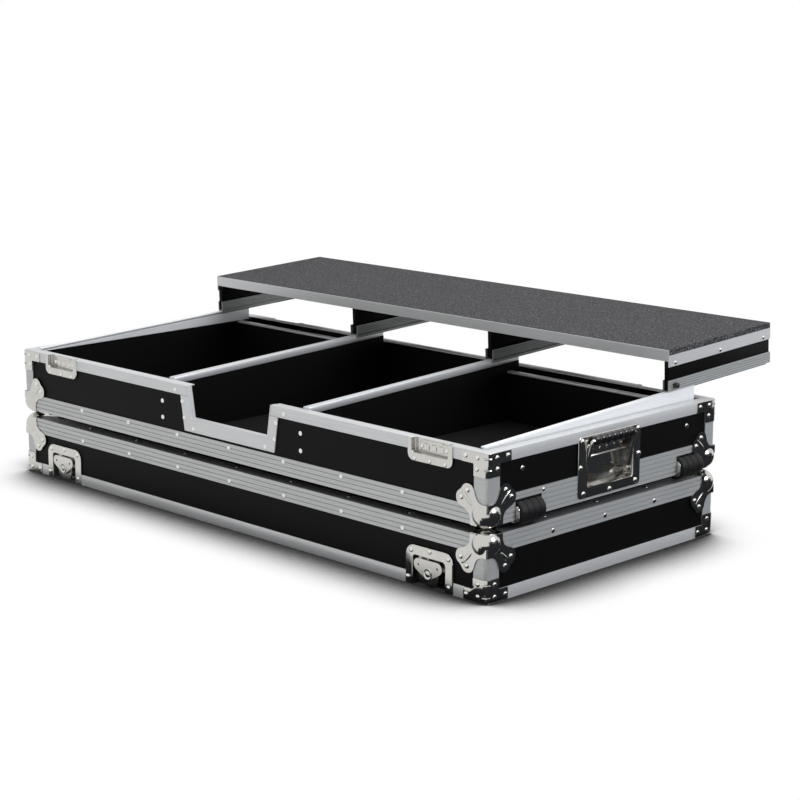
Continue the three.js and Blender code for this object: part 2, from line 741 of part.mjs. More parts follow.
// Four butterfly latches, two on the front and two on the rear
for (const face of ['front', 'rear']) {
  const side = new THREE.Group();
  side.rotation.z = face === 'front' ? 0 : Math.PI;
  for (const hand of ['left', 'right']) {
    const latch = new THREE.Group();
    const sign = (hand === 'right') === (face === 'front') ? 1 : -1;
    latch.position.x = sign * latchX;
    const name = `${face}_${hand}_latch`;
    latch.add(part(`${name}_dish`, latchDishShape(), chrome()));
    latch.add(part(`${name}_hub`, latchHubShape(), chrome()));
    latch.add(part(`${name}_wing`, latchWingShape(), chrome()));
    latch.add(part(`${name}_claw`, latchClawShape(), chrome()));
    side.add(latch);
  }
  lid.add(side);
}

// Base

const base = new THREE.Group();
base.position.z = baseBottom;

const boardX = halfWidth - boardFace;
const boardY = halfDepth - boardFace;
const bayFront = -halfDepth + boardBack;
const bayRear = halfDepth - boardBack;
const bayInner = dividerX + dividerThickness / 2 + clearance;
const bayOuter = trackInner - clearance;

// The hardware's rooms and the eased corners, taken out of one of the base's boards
function cutForHardware(board) {
  return board.subtract(postCorners(-overrun, baseHeight)).subtract(ballRelief(0, 1))
    .subtract(fourRooms(keeperRoom(boardBack + overrun), keeperX))
    .subtract(handleRooms()).subtract(wheelRooms());
}

// The floor board carries the low partition behind each turntable
function baseFloorBoard() {
  const floor = block(-boardX, boardX, -boardY, boardY, metalWall, baseFloor);
  const partition = (sign) => {
    const xs = [sign * bayInner, sign * bayOuter].sort((a, b) => a - b);
    return block(
      ...xs, partitionFront, partitionFront + partitionThickness, metalWall, webUnderside - clearance);
  };
  const padX = bayInner - clearance - dividerThickness - padMargin;
  const rebate = block(
    -padX, padX, bayFront + padMargin, bayRear - padMargin, baseFloor - padRebate, baseFloor + overrun);
  return cutForHardware(floor).subtract(rebate).add(partition(-1)).add(partition(1));
}

// The front and rear boards stand on the floor board, and the slanted cut-out is in the front one
function baseLongBoard(sign) {
  const ys = [sign * boardY, sign * (boardY - boardThickness)].sort((a, b) => a - b);
  return cutForHardware(block(-boardX, boardX, ...ys, baseFloor + clearance, webUnderside));
}

function baseFrontBoard() {
  const opening = prism(
    'y', cutoutOutline(metalWall + clearance, baseHeight + overrun), -halfDepth - overrun, bayFront + overrun);
  return baseLongBoard(-1).subtract(opening);
}

// The thick end boards carry the tracks and the handles
function baseEndBoard(sign) {
  const xs = [sign * trackInner, sign * boardX].sort((a, b) => a - b);
  return cutForHardware(
    block(...xs, bayFront + clearance, bayRear - clearance, baseFloor + clearance, webUnderside));
}

function baseEdgeFrame() {
  const frontOutline = ribbedAngle(baseFrontFace);
  const sideOutline = ribbedAngle(baseSideFace);
  return ring((side) => (side === 'front' || side === 'rear' ? frontOutline : sideOutline))
    .add(posts(0, baseHeight - baseRimFace))
    .subtract(roundEdges(-overrun, baseHeight + overrun)).subtract(ballRelief(0, 1))
    .subtract(handleRooms()).subtract(wheelRooms());
}

function baseRimFrame() {
  const outline = rimAngle(baseRimFace).map(([depth, z]) => [depth, baseHeight + z]);
  const opening = prism(
    'y', cutoutOutline(metalWall + clearance, baseHeight + overrun), -halfDepth - overrun,
    -halfDepth + rimWeb + overrun);
  return ring(() => outline).subtract(roundEdges(0, baseHeight + overrun))
    .add(braces(baseHeight, -1, baseBraceArm, baseBraceHeight, baseRimFace)
      .subtract(postRoom(baseHeight - baseBraceHeight - overrun, baseHeight - baseRimFace)))
    .subtract(opening).subtract(fourRooms(keeperRoom(keeperWall + clearance), keeperX)).subtract(handleRooms());
}

// The cut-out's trim: a flat flange on the front and a lining through the wall
function cutoutTrim() {
  const flangeTop = baseHeight - baseRimFace - clearance;
  const outer = cutoutOutline(cutoutStrip, flangeTop);
  const lift = cutoutStrip - cutoutSill;
  const flangeOutline = [
    [outer[0][0], outer[0][1] + lift], [outer[1][0], outer[1][1] + lift], outer[2], outer[3],
  ];
  const flange = prism('y', flangeOutline, -halfDepth, -halfDepth + metalWall);
  const lining = prism(
    'y', cutoutOutline(metalWall, baseHeight), -halfDepth, -halfDepth + boardBack);
  const opening = prism(
    'y', cutoutOutline(0, baseHeight + overrun), -halfDepth - overrun, -halfDepth + boardBack + overrun);
  return flange.add(lining).subtract(opening);
}

base.add(part('base_floor_board', baseFloorBoard(), laminate()));
base.add(part('base_front_board', baseFrontBoard(), laminate()));
base.add(part('base_rear_board', baseLongBoard(1), laminate()));
base.add(part('base_right_end_board', baseEndBoard(1), laminate()));
base.add(part('base_left_end_board', baseEndBoard(-1), laminate()));
base.add(part('base_edge_frame', baseEdgeFrame(), aluminium()));
base.add(part('base_rim_frame', baseRimFrame(), aluminium()));
base.add(part('mixer_cutout_trim', cutoutTrim(), aluminium()));

cornerNames.forEach((name, i) => {
  const turned = new THREE.Group();
  turned.rotation.z = (i * Math.PI) / 2;
  const corner = part(`base_ball_corner_${name}`, ballCornerShape(), chrome());
  const lengthwise = i % 2 === 0;
  corner.position.set(lengthwise ? halfWidth : halfDepth, lengthwise ? -halfDepth : -halfWidth, 0);
  turned.add(corner);
  base.add(turned);
});

for (const face of ['front', 'rear']) {
  const side = new THREE.Group();
  side.rotation.z = face === 'front' ? 0 : Math.PI;
  for (const hand of ['left', 'right']) {
    const sign = (hand === 'right') === (face === 'front') ? 1 : -1;
    const keeper = part(`${face}_${hand}_keeper`, keeperShape(), chrome());
    keeper.position.x = sign * keeperX;
    side.add(keeper);
  }
  base.add(side);
}

for (const hand of ['right', 'left']) {
  const end = new THREE.Group();
  end.rotation.z = hand === 'right' ? 0 : Math.PI;
  end.add(part(`${hand}_handle_dish`, handleDishShape(), chrome()));
  end.add(part(`${hand}_handle_bail`, handleBailShape(), rubber()));
  base.add(end);
}

for (const [name, y] of [['front', wheelFrontY], ['rear', wheelRearY]]) {
  base.add(part(`${name}_wheel_housing`, wheelHousingShape(y), chrome()));
  base.add(part(`${name}_wheel`, wheelShape(y), rubber()));
}

const webEdge = halfDepth - rimWeb;

// A divider's side view: it stands on the floor, steps in under the rim and slopes up to the rear
function dividerShape() {
  const outline = [
    [bayFront, baseFloor], [bayRear, baseFloor], [bayRear, webUnderside - clearance],
    [trackRear, webUnderside - clearance], [trackRear, trackHeight(trackRear)],
    [-webEdge + clearance, trackHeight(-webEdge)], [-webEdge + clearance, webUnderside - clearance],
    [bayFront, webUnderside - clearance],
  ];
  return prism('x', outline, -dividerThickness / 2, dividerThickness / 2);
}

// A track is a sloping aluminium wedge on the inner board, grooved along its inner side
function trackShape(sign) {
  const front = -webEdge + clearance;
  const outline = [
    [front, webUnderside], [trackRear, webUnderside], [trackRear, trackHeight(trackRear)],
    [front, trackHeight(front)],
  ];
  const groove = (y) => [
    [y, trackHeight(y) - keyDrop - keyHeight - clearance], [y, trackHeight(y) - keyDrop + clearance],
  ];
  const grooveOutline = [...groove(front - overrun), ...groove(trackRear + overrun).reverse()];
  const wedge = [sign * trackInner, sign * trackOuter].sort((a, b) => a - b);
  const cut = [sign * (trackInner - overrun), sign * (trackInner + keyReach + clearance)].sort((a, b) => a - b);
  return prism('x', outline, ...wedge).subtract(prism('x', grooveOutline, ...cut));
}

for (const [hand, sign] of [['left', -1], ['right', 1]]) {
  const divider = part(`${hand}_divider`, dividerShape(), laminate());
  divider.position.x = sign * dividerX;
  base.add(divider);
  const xs = [sign * bayInner, sign * bayOuter].sort((a, b) => a - b);
  const pad = block(
    ...xs, bayFront + clearance, partitionFront - clearance, baseFloor, baseFloor + foamThickness);
  base.add(part(`${hand}_bay_foam`, pad, foam()));
  base.add(part(`${hand}_side_track`, trackShape(sign), aluminium()));
}

// Platform, drawn level from its front foot and then tilted onto the tracks

const platform = new THREE.Group();
platform.position.set(0, platformFront, trackHeight(platformFront) + clearance);
platform.rotation.x = trackAngle;
base.add(platform);

const deckBottom = platformHeight - deckThickness;
const legInset = plateThickness + clearance;

function deckShape() {
  return block(-platformHalf, platformHalf, legInset, platformDepth - legInset, deckBottom, platformHeight);
}

// Aluminium strips along the deck's front and rear edges, joined at the corners to lower ones that
// cover the tops of the end legs
function deckTrimShape() {
  const top = platformHeight - clearance;
  const sideTop = deckBottom - clearance;
  const alongDeck = (y) => block(-platformHalf, platformHalf, y, y + plateThickness, top - trimFace, top);
  const alongLeg = (x) => block(x, x + plateThickness, 0, platformDepth, sideTop - sideTrimFace, sideTop);
  return alongDeck(0).add(alongDeck(platformDepth - plateThickness))
    .add(alongLeg(-platformHalf)).add(alongLeg(platformHalf - plateThickness));
}

const outerRailInner = trackInner - clearance - railWall;
const knobHeight = railHeight / 2;

// An end leg: a board on a rail that sits on the side track and hooks into the track's groove
function endLegShape() {
  const rail = block(outerRailInner, platformHalf, 0, platformDepth, 0, railHeight);
  const guide = block(outerRailInner, outerRailInner + railWall, 0, platformDepth, -railGuide, railHeight);
  const boardOuter = platformHalf - legInset;
  const board = block(
    boardOuter - boardThickness, boardOuter, legInset, platformDepth - legInset, railHeight, deckBottom);
  const keyTop = -keyDrop - clearance;
  const key = block(outerRailInner, trackInner + keyReach, 0, platformDepth, keyTop - keyHeight, keyTop);
  return rail.add(guide).add(key).add(board);
}

// A middle leg: a board in a channel that straddles the divider
function middleLegShape() {
  const half = dividerThickness / 2 + clearance + railWall;
  const channel = block(-half, half, 0, platformDepth, -railGuide, railHeight);
  const slot = block(-half + railWall, half - railWall, -overrun, platformDepth + overrun, -2 * railGuide, 0);
  const board = block(
    -boardThickness / 2, boardThickness / 2, legInset, platformDepth - legInset, 0, deckBottom);
  return channel.subtract(slot).add(board);
}

function knobShape() {
  const across = [knobInset, knobHeight];
  const head = rod('x', knobRadius, platformHalf + clearance, platformHalf + clearance + knobLength, across);
  return head.add(rod('x', shankRadius, platformHalf - shankLength, platformHalf + knobLength / 2, across));
}

const knobBore = () => rod(
  'x', shankRadius + clearance, platformHalf - shankLength - clearance, platformHalf + overrun,
  [knobInset, knobHeight]);

platform.add(part('platform_deck', deckShape(), laminate()));
platform.add(part('platform_edge_trim', deckTrimShape(), aluminium()));
platform.add(part('platform_leg_right', endLegShape().subtract(knobBore()), laminate()));

const leftLeg = part('platform_leg_left', endLegShape(), laminate());
leftLeg.rotation.z = Math.PI;
leftLeg.position.y = platformDepth;
platform.add(leftLeg);

for (const [name, sign] of [['middle_left', -1], ['middle_right', 1]]) {
  const leg = part(`platform_leg_${name}`, middleLegShape(), laminate());
  leg.position.x = sign * dividerX;
  platform.add(leg);
}
platform.add(part('platform_lock_knob', knobShape(), plastic()));

// The whole case, with its origin on the floor under the middle of its box
const djCase = new THREE.Group();
djCase.position.y = -originY;
djCase.add(lid);
djCase.add(base);

export default djCase;
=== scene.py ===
"""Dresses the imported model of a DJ's travelling coffin case with its hardware and its real finishes.

The lid tray stands rim down on the floor, the base tray stands on its ball corners, and the platform is slid
back on its sloping tracks. Pieces are shaped in millimetres of the tray they belong to, with the middle of
the case at x = y = 0, and are then placed in the row frame.
"""

import logging
import math
from collections.abc import Callable, Iterable, Iterator, Sequence
from dataclasses import dataclass
from enum import Enum
from typing import Self

import bmesh
import bpy
from mathutils import Matrix, Vector


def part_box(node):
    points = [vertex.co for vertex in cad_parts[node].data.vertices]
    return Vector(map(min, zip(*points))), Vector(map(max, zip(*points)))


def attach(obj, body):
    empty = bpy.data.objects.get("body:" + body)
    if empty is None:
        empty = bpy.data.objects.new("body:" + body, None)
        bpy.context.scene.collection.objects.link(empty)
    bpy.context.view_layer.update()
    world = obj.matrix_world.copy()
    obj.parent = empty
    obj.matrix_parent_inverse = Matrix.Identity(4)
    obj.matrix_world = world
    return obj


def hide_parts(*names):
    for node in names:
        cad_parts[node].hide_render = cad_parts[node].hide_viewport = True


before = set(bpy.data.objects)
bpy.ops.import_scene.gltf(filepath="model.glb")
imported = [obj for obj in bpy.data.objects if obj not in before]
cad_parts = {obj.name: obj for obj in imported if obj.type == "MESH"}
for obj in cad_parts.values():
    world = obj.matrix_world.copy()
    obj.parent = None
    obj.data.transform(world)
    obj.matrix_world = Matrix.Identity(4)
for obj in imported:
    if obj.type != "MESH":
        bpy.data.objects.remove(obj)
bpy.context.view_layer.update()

MM = 0.001
QUARTER_TURN = math.pi / 2
SIGNS = (-1, 1)
HANDS = (("left", -1), ("right", 1))
# Lays what is drawn along Z along X
LAY = Matrix.Rotation(QUARTER_TURN, 4, "Y")
LOG = logging.getLogger("dj_case")
Numbers = Sequence[float]
Pairs = Sequence[tuple[float, float]]


# Shared sizes and places


@dataclass(frozen=True)
class CaseSizes:
    """Sizes that several sub-assemblies share, in millimetres."""

    half_width: float = 609.5
    half_depth: float = 288.0
    lid_height: float = 109.0
    base_height: float = 116.5
    wall: float = 2.0
    plate: float = 1.5
    post_radius: float = 7.0
    ball_radius: float = 23.0
    ball_inset: float = 15.95
    latch_x: float = 487.0
    keeper_x: float = 488.0
    divider_x: float = 178.4
    track_x: float = 581.2
    track_rise: float = 2.4
    track_slope: float = 0.041
    bay_floor: float = 11.0

    def track_height(self, y: float) -> float:
        """Gives the height of the sloping tracks above the base's underside at y."""
        return self.base_height + self.track_rise + self.track_slope * (y + self.half_depth)


CASE = CaseSizes()


@dataclass(frozen=True)
class Ride:
    """A CAD body that pieces ride on, and the matrix from its millimetres to metres of the row frame."""

    body: str
    place: Matrix

    def on(self, body: str) -> "Ride":
        """Gives another body that is drawn in the same millimetres."""
        return Ride(body, self.place)

    def moved(self, by: Matrix) -> "Ride":
        """Gives the same body with its millimetres moved."""
        return Ride(self.body, self.place @ by)


def tray(body: str, node: str) -> Ride:
    """Finds a tray's place in the row frame.

    Args:
        body: the tray's body.
        node: a CAD node as deep as the case whose lowest point is the tray's zero height.

    Returns:
        The tray as a ride for its pieces.
    """
    low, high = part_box(node)
    return Ride(body, Matrix.Translation((0.0, (low.y + high.y) / 2, low.z)) @ Matrix.Scale(MM, 4))


LID = tray("lid", "lid_rim_frame")
BASE = tray("base", "base_edge_frame")


def shift(x: float, y: float, z: float) -> Matrix:
    """Gives the matrix of a move."""
    return Matrix.Translation((x, y, z))


def stand(x: Numbers, y: Numbers, z: Numbers,
          origin: Numbers = (0.0, 0.0, 0.0)) -> Matrix:
    """Gives the matrix that points X, Y and Z in three directions from an origin."""
    place = Matrix((x, y, z)).transposed().to_4x4()
    place.translation = origin
    return place


class Side(Enum):
    """An upright side of the case, as its directions along, up and out."""

    FRONT = ((1, 0, 0), (0, 0, 1), (0, -1, 0))
    REAR = ((-1, 0, 0), (0, 0, 1), (0, 1, 0))
    RIGHT = ((0, 1, 0), (0, 0, 1), (1, 0, 0))
    LEFT = ((0, -1, 0), (0, 0, 1), (-1, 0, 0))

    def at(self, along: float = 0.0, up: float = 0.0, out: float = 0.0) -> Matrix:
        """Gives the place in a tray of what is drawn along X, up Y and out Z.

        Args:
            along: how far along the side from its middle.
            up: how far above the tray's zero height.
            out: how far outside the side's plane.

        Returns:
            The matrix from the piece's millimetres to the tray's.
        """
        reach = CASE.half_depth if self in (Side.FRONT, Side.REAR) else CASE.half_width
        sideways, upwards, outwards = (Vector(axis) for axis in self.value)
        return stand(*self.value, sideways * along + upwards * up + outwards * (reach + out))


def paired(distance: float) -> Iterator[tuple[str, Side, float]]:
    """Gives the name, side and place along it of each of four fittings on the long sides."""
    for side, face, turn in ((Side.FRONT, "front", 1), (Side.REAR, "rear", -1)):
        for hand, sign in HANDS:
            yield f"{face}_{hand}", side, sign * distance * turn


class Corner(Enum):
    """A corner of the case, as the signs of its x and y."""

    FRONT_RIGHT = (1, -1)
    REAR_RIGHT = (1, 1)
    REAR_LEFT = (-1, 1)
    FRONT_LEFT = (-1, -1)

    def at(self, height: float, inward: int) -> Matrix:
        """Gives the place of what is drawn inwards along X, Y and Z from the corner's point.

        Args:
            height: the tray's height of the corner's point.
            inward: 1 where Z goes up from there, -1 where it goes down.

        Returns:
            The matrix from the piece's millimetres to the tray's.
        """
        sign_x, sign_y = self.value
        place = Matrix.Diagonal((-sign_x, -sign_y, inward, 1.0))
        place.translation = (sign_x * CASE.half_width, sign_y * CASE.half_depth, height)
        return place


# Finishes


def linear(colour: str) -> tuple[float, float, float, float]:
    """Turns an sRGB hex colour, such as #C8CACB, into linear RGBA."""
    parts = [int(colour[i:i + 2], 16) / 255 for i in (1, 3, 5)]
    return (*[p / 12.92 if p <= 0.04045 else ((p + 0.055) / 1.055) ** 2.4 for p in parts], 1.0)


def per_mm(size: float) -> float:
    """Gives the scale at which a pattern on Object coordinates has features of a size in millimetres."""
    return 1 / (size * MM)


def add_node(tree: bpy.types.NodeTree, kind: str, inputs: dict, **settings: object) -> bpy.types.Node:
    """Adds one node with its settings and links.

    Args:
        tree: the material's or world's node tree.
        kind: the node's type name without its ShaderNode prefix.
        inputs: what each input socket holds or is linked to, by name or number.
        settings: the node's own properties.

    Returns:
        The new node.
    """
    made = tree.nodes.new("ShaderNode" + kind)
    for name, value in settings.items():
        setattr(made, name, value)
    for name, value in inputs.items():
        if isinstance(value, bpy.types.NodeSocket):
            tree.links.new(value, made.inputs[name])
        else:
            made.inputs[name].default_value = value
    return made


def blend(tree: bpy.types.NodeTree, share: object, one: object, other: object,
          kind: str = "MIX") -> bpy.types.NodeSocket:
    """Mixes two colours by a share and gives the mixed colour."""
    return add_node(tree, "Mix", {0: share, 6: one, 7: other}, data_type="RGBA", blend_type=kind).outputs[2]


def remap(tree: bpy.types.NodeTree, value: bpy.types.NodeSocket, before: Numbers,
          after: Numbers = (0.0, 1.0), curve: str = "LINEAR") -> bpy.types.NodeSocket:
    """Maps one range of a value onto another and gives the result."""
    limits = {"From Min": before[0], "From Max": before[1], "To Min": after[0], "To Max": after[1]}
    return add_node(tree, "MapRange", {"Value": value, **limits}, interpolation_type=curve).outputs["Result"]


def noise(tree: bpy.types.NodeTree, size: float, **inputs: float) -> bpy.types.NodeSocket:
    """Gives a noise on Object coordinates.

    Args:
        tree: the material's node tree.
        size: how large its features are, in millimetres.
        inputs: its other inputs, by name.

    Returns:
        The noise's value from 0 to 1.
    """
    spot = add_node(tree, "TexCoord", {})
    return add_node(tree, "TexNoise", {"Vector": spot.outputs["Object"], "Scale": per_mm(size),
                                       **inputs}).outputs["Fac"]


@dataclass(frozen=True)
class Finish:
    """A surface finish: its name and colours, how it takes the light, and a slot name for its pieces."""

    title: str
    colour: str
    second_colour: str
    roughness: tuple[float, float]
    metallic: float = 0.0
    grain: float = 1.0
    relief: float = 0.0
    specular: float = 0.5
    # The painted shade: within this many millimetres of another surface, ambient occlusion darkens the
    # colour, and the flag below keeps it to the piece's own surfaces.
    painted_shade_distance: float = 0.0
    painted_shade_own_only: bool = True
    slot: str = ""

    def material(self) -> bpy.types.Material:
        """Builds the finish's material, or gives the one that is there."""
        if self.title in bpy.data.materials:
            return bpy.data.materials[self.title]
        made = bpy.data.materials.new(self.title)
        made.use_nodes = True
        made.node_tree.nodes.clear()
        self.dress(made.node_tree)
        return made

    def pattern(self, tree: bpy.types.NodeTree) -> bpy.types.NodeSocket:
        """Gives the value from 0 to 1 that mixes the two colours."""
        return noise(tree, self.grain, Detail=3.0, Roughness=0.6)

    def dress(self, tree: bpy.types.NodeTree) -> None:
        """Builds the node tree: two colours and two roughnesses mixed by the pattern, painted shade where
        other surfaces are near, and its relief.
        """
        amount = self.pattern(tree)
        colour = blend(tree, amount, linear(self.colour), linear(self.second_colour))
        # Painted shade: the colour is multiplied darker where ambient occlusion finds surfaces close by, in
        # grooves, folds, recesses and between parts.
        if self.painted_shade_distance:
            near = add_node(tree, "AmbientOcclusion", {"Distance": self.painted_shade_distance * MM}, samples=6,
                            only_local=self.painted_shade_own_only)
            painted_shade_factor = remap(tree, near.outputs["AO"], (0.25, 0.85), (0.22, 1.0))
            colour = blend(tree, 1.0, colour, painted_shade_factor, "MULTIPLY")
        rough = remap(tree, amount, (0.25, 0.75), self.roughness)
        shader = add_node(tree, "BsdfPrincipled", {"Base Color": colour, "Metallic": self.metallic,
                                                   "Roughness": rough, "Specular IOR Level": self.specular})
        if self.relief:
            bump = add_node(tree, "Bump", {"Height": self.height(tree, amount), "Distance": self.relief * MM})
            tree.links.new(bump.outputs["Normal"], shader.inputs["Normal"])
        add_node(tree, "OutputMaterial", {"Surface": shader.outputs["BSDF"]})

    def height(self, tree: bpy.types.NodeTree, amount: bpy.types.NodeSocket) -> bpy.types.NodeSocket:
        """Gives what the relief follows, which is the colour's own pattern unless a finish says otherwise."""
        return amount


@dataclass(frozen=True)
class BrushedAluminium(Finish):
    """Extruded aluminium, satin anodised after brushing along its length."""

    slot: str = "aluminium_extrusion"
    streak: float = 90.0

    def pattern(self, tree: bpy.types.NodeTree) -> bpy.types.NodeSocket:
        """Streaks along X on faces to the front and rear, and along Y on faces to the ends."""
        spot = add_node(tree, "TexCoord", {})
        fine, long = per_mm(self.grain), per_mm(self.streak)
        streaks = []
        for scale in ((long, fine, fine), (fine, long, fine)):
            grid = add_node(tree, "Mapping", {"Vector": spot.outputs["Object"], "Scale": scale})
            streaks.append(add_node(tree, "TexNoise", {"Vector": grid.outputs["Vector"], "Scale": 1.0,
                                                       "Detail": 4.0, "Roughness": 0.65}))
        facing = add_node(tree, "SeparateXYZ", {0: spot.outputs["Normal"]})
        turned = add_node(tree, "Math", {0: facing.outputs["X"]}, operation="ABSOLUTE")
        to_end = add_node(tree, "Math", {0: turned.outputs[0], 1: 0.5}, operation="GREATER_THAN")
        chosen = add_node(tree, "Mix", {0: to_end.outputs[0], 2: streaks[0].outputs["Fac"],
                                        3: streaks[1].outputs["Fac"]})
        return chosen.outputs[0]


@dataclass(frozen=True)
class PressedChrome(Finish):
    """Pressed steel with bright chrome plate: its faint waviness breaks up what it mirrors."""

    slot: str = "chromed_steel"
    wave: float = 9.0

    def height(self, tree: bpy.types.NodeTree, amount: bpy.types.NodeSocket) -> bpy.types.NodeSocket:
        """Gives the slow waviness that pressing leaves in thin sheet."""
        return noise(tree, self.wave, Detail=1.0)


@dataclass(frozen=True)
class SpeckledCloth(Finish):
    """Textured deck covering: black with pale flecks of a millimetre or two."""

    fleck: float = 2.2

    def pattern(self, tree: bpy.types.NodeTree) -> bpy.types.NodeSocket:
        """Gives flecks where a fine noise is high."""
        return remap(tree, noise(tree, self.fleck, Detail=3.0, Roughness=0.7), (0.5, 0.68))


# Satin anodised extrusions: pale, soft reflections with streaks along the bar. Real brushing is under 0.1 mm
# wide, so the streaks are drawn 1.6 mm wide, as coarse as they need to be to show.
# Within 3 mm of other surfaces their colour is darkened, as painted shade.
ALUMINIUM = BrushedAluminium("satin_anodised_aluminium", "#D9DADB", "#BDBFC0", (0.34, 0.48), 0.5, 1.6, 0.02,
                             painted_shade_distance=3.0)
# The sloping side tracks: the same aluminium painted paler all over, as painted light where the tracks catch
# the light, and darkened as painted shade within 3 mm of other surfaces.
TRACK_WITH_PAINTED_LIGHT = BrushedAluminium("worn_bright_aluminium_track", "#F7F8F9", "#E6E8EA", (0.34, 0.48), 0.3, 1.6, 0.02,
                         painted_shade_distance=3.0)
# The channels inside the platform's legs: the same aluminium painted a darker and duller grey, as painted
# shade under the platform, and darkened further within 10 mm of other surfaces, also painted shade.
CHANNEL_PAINTED_SHADE = BrushedAluminium("raw_mill_finish_aluminium", "#9A9C9C", "#747676", (0.42, 0.58), 0.6, 1.6, 0.02,
                        painted_shade_distance=10.0)
# The ribbed extrusions of the edges and foot rails: the anodised metal, greyer, darkened as painted shade in
# its grooves and wherever another part stands within 24 mm, as on the lid's flange under the base.
RIBBED = BrushedAluminium("satin_anodised_ribbed_extrusion", "#C6C8C8", "#A4A6A6", (0.36, 0.5), 0.55, 1.6,
                          0.02, painted_shade_distance=24.0, painted_shade_own_only=False)
# Chrome plate on pressed steel: sharp dark and bright reflections, darkened as painted shade in its folds and
# seams.
CHROME = PressedChrome("bright_chrome_plate_on_pressed_steel", "#CFCECA", "#BDBCB7", (0.1, 0.2), 1.0, 30.0,
                       0.12, painted_shade_distance=9.0)
# Nickel plated rivets, springs and rolled lips: small bright glints.
NICKEL = PressedChrome("nickel_plated_rivet_steel", "#E4E2DE", "#D8D6D2", (0.16, 0.24), 1.0, 12.0, 0.02)
# Black laminate on plywood: a stippled plastic skin with a dull sheen. The stipple is 1.2 mm across.
LAMINATE = Finish("stippled_black_laminate", "#050505", "#0D0D0D", (0.42, 0.58), 0.0, 1.2, 0.12, 0.08,
                  slot="laminate_board")
# The platform's covering: near black with grey flecks, quite dull.
DECK = SpeckledCloth("flecked_black_deck_covering", "#202022", "#868689", (0.7, 0.9), 0.0, 2.2, 0.2, 0.15)
# Moulded rubber of the grips: black and smooth, with a clear glint along each rib.
GRIP_RUBBER = Finish("moulded_grip_rubber", "#0A0A0B", "#131314", (0.14, 0.22), 0.0, 3.0, 0.05, 0.8,
                     slot="grip_rubber")
# Rubber tyres: dull black with scuffs from the floor.
WHEEL_RUBBER = Finish("scuffed_black_tyre_rubber", "#0A0A0B", "#1B1B1C", (0.4, 0.6), 0.0, 6.0, 0.1, 0.25,
                      slot="wheel_rubber")
# Open cell foam: matt black with 1.5 mm pores.
FOAM = Finish("open_cell_foam", "#0A0A0B", "#1C1C1E", (0.9, 1.0), 0.0, 1.5, 0.6, 0.1, slot="foam")
# Moulded nylon of the lock knob and the screw caps: black with a soft gloss.
KNOB_PLASTIC = Finish("moulded_black_nylon", "#131314", "#1E1E1F", (0.3, 0.42), 0.0, 2.0, 0.03,
                      slot="knob_plastic")


# Shaping


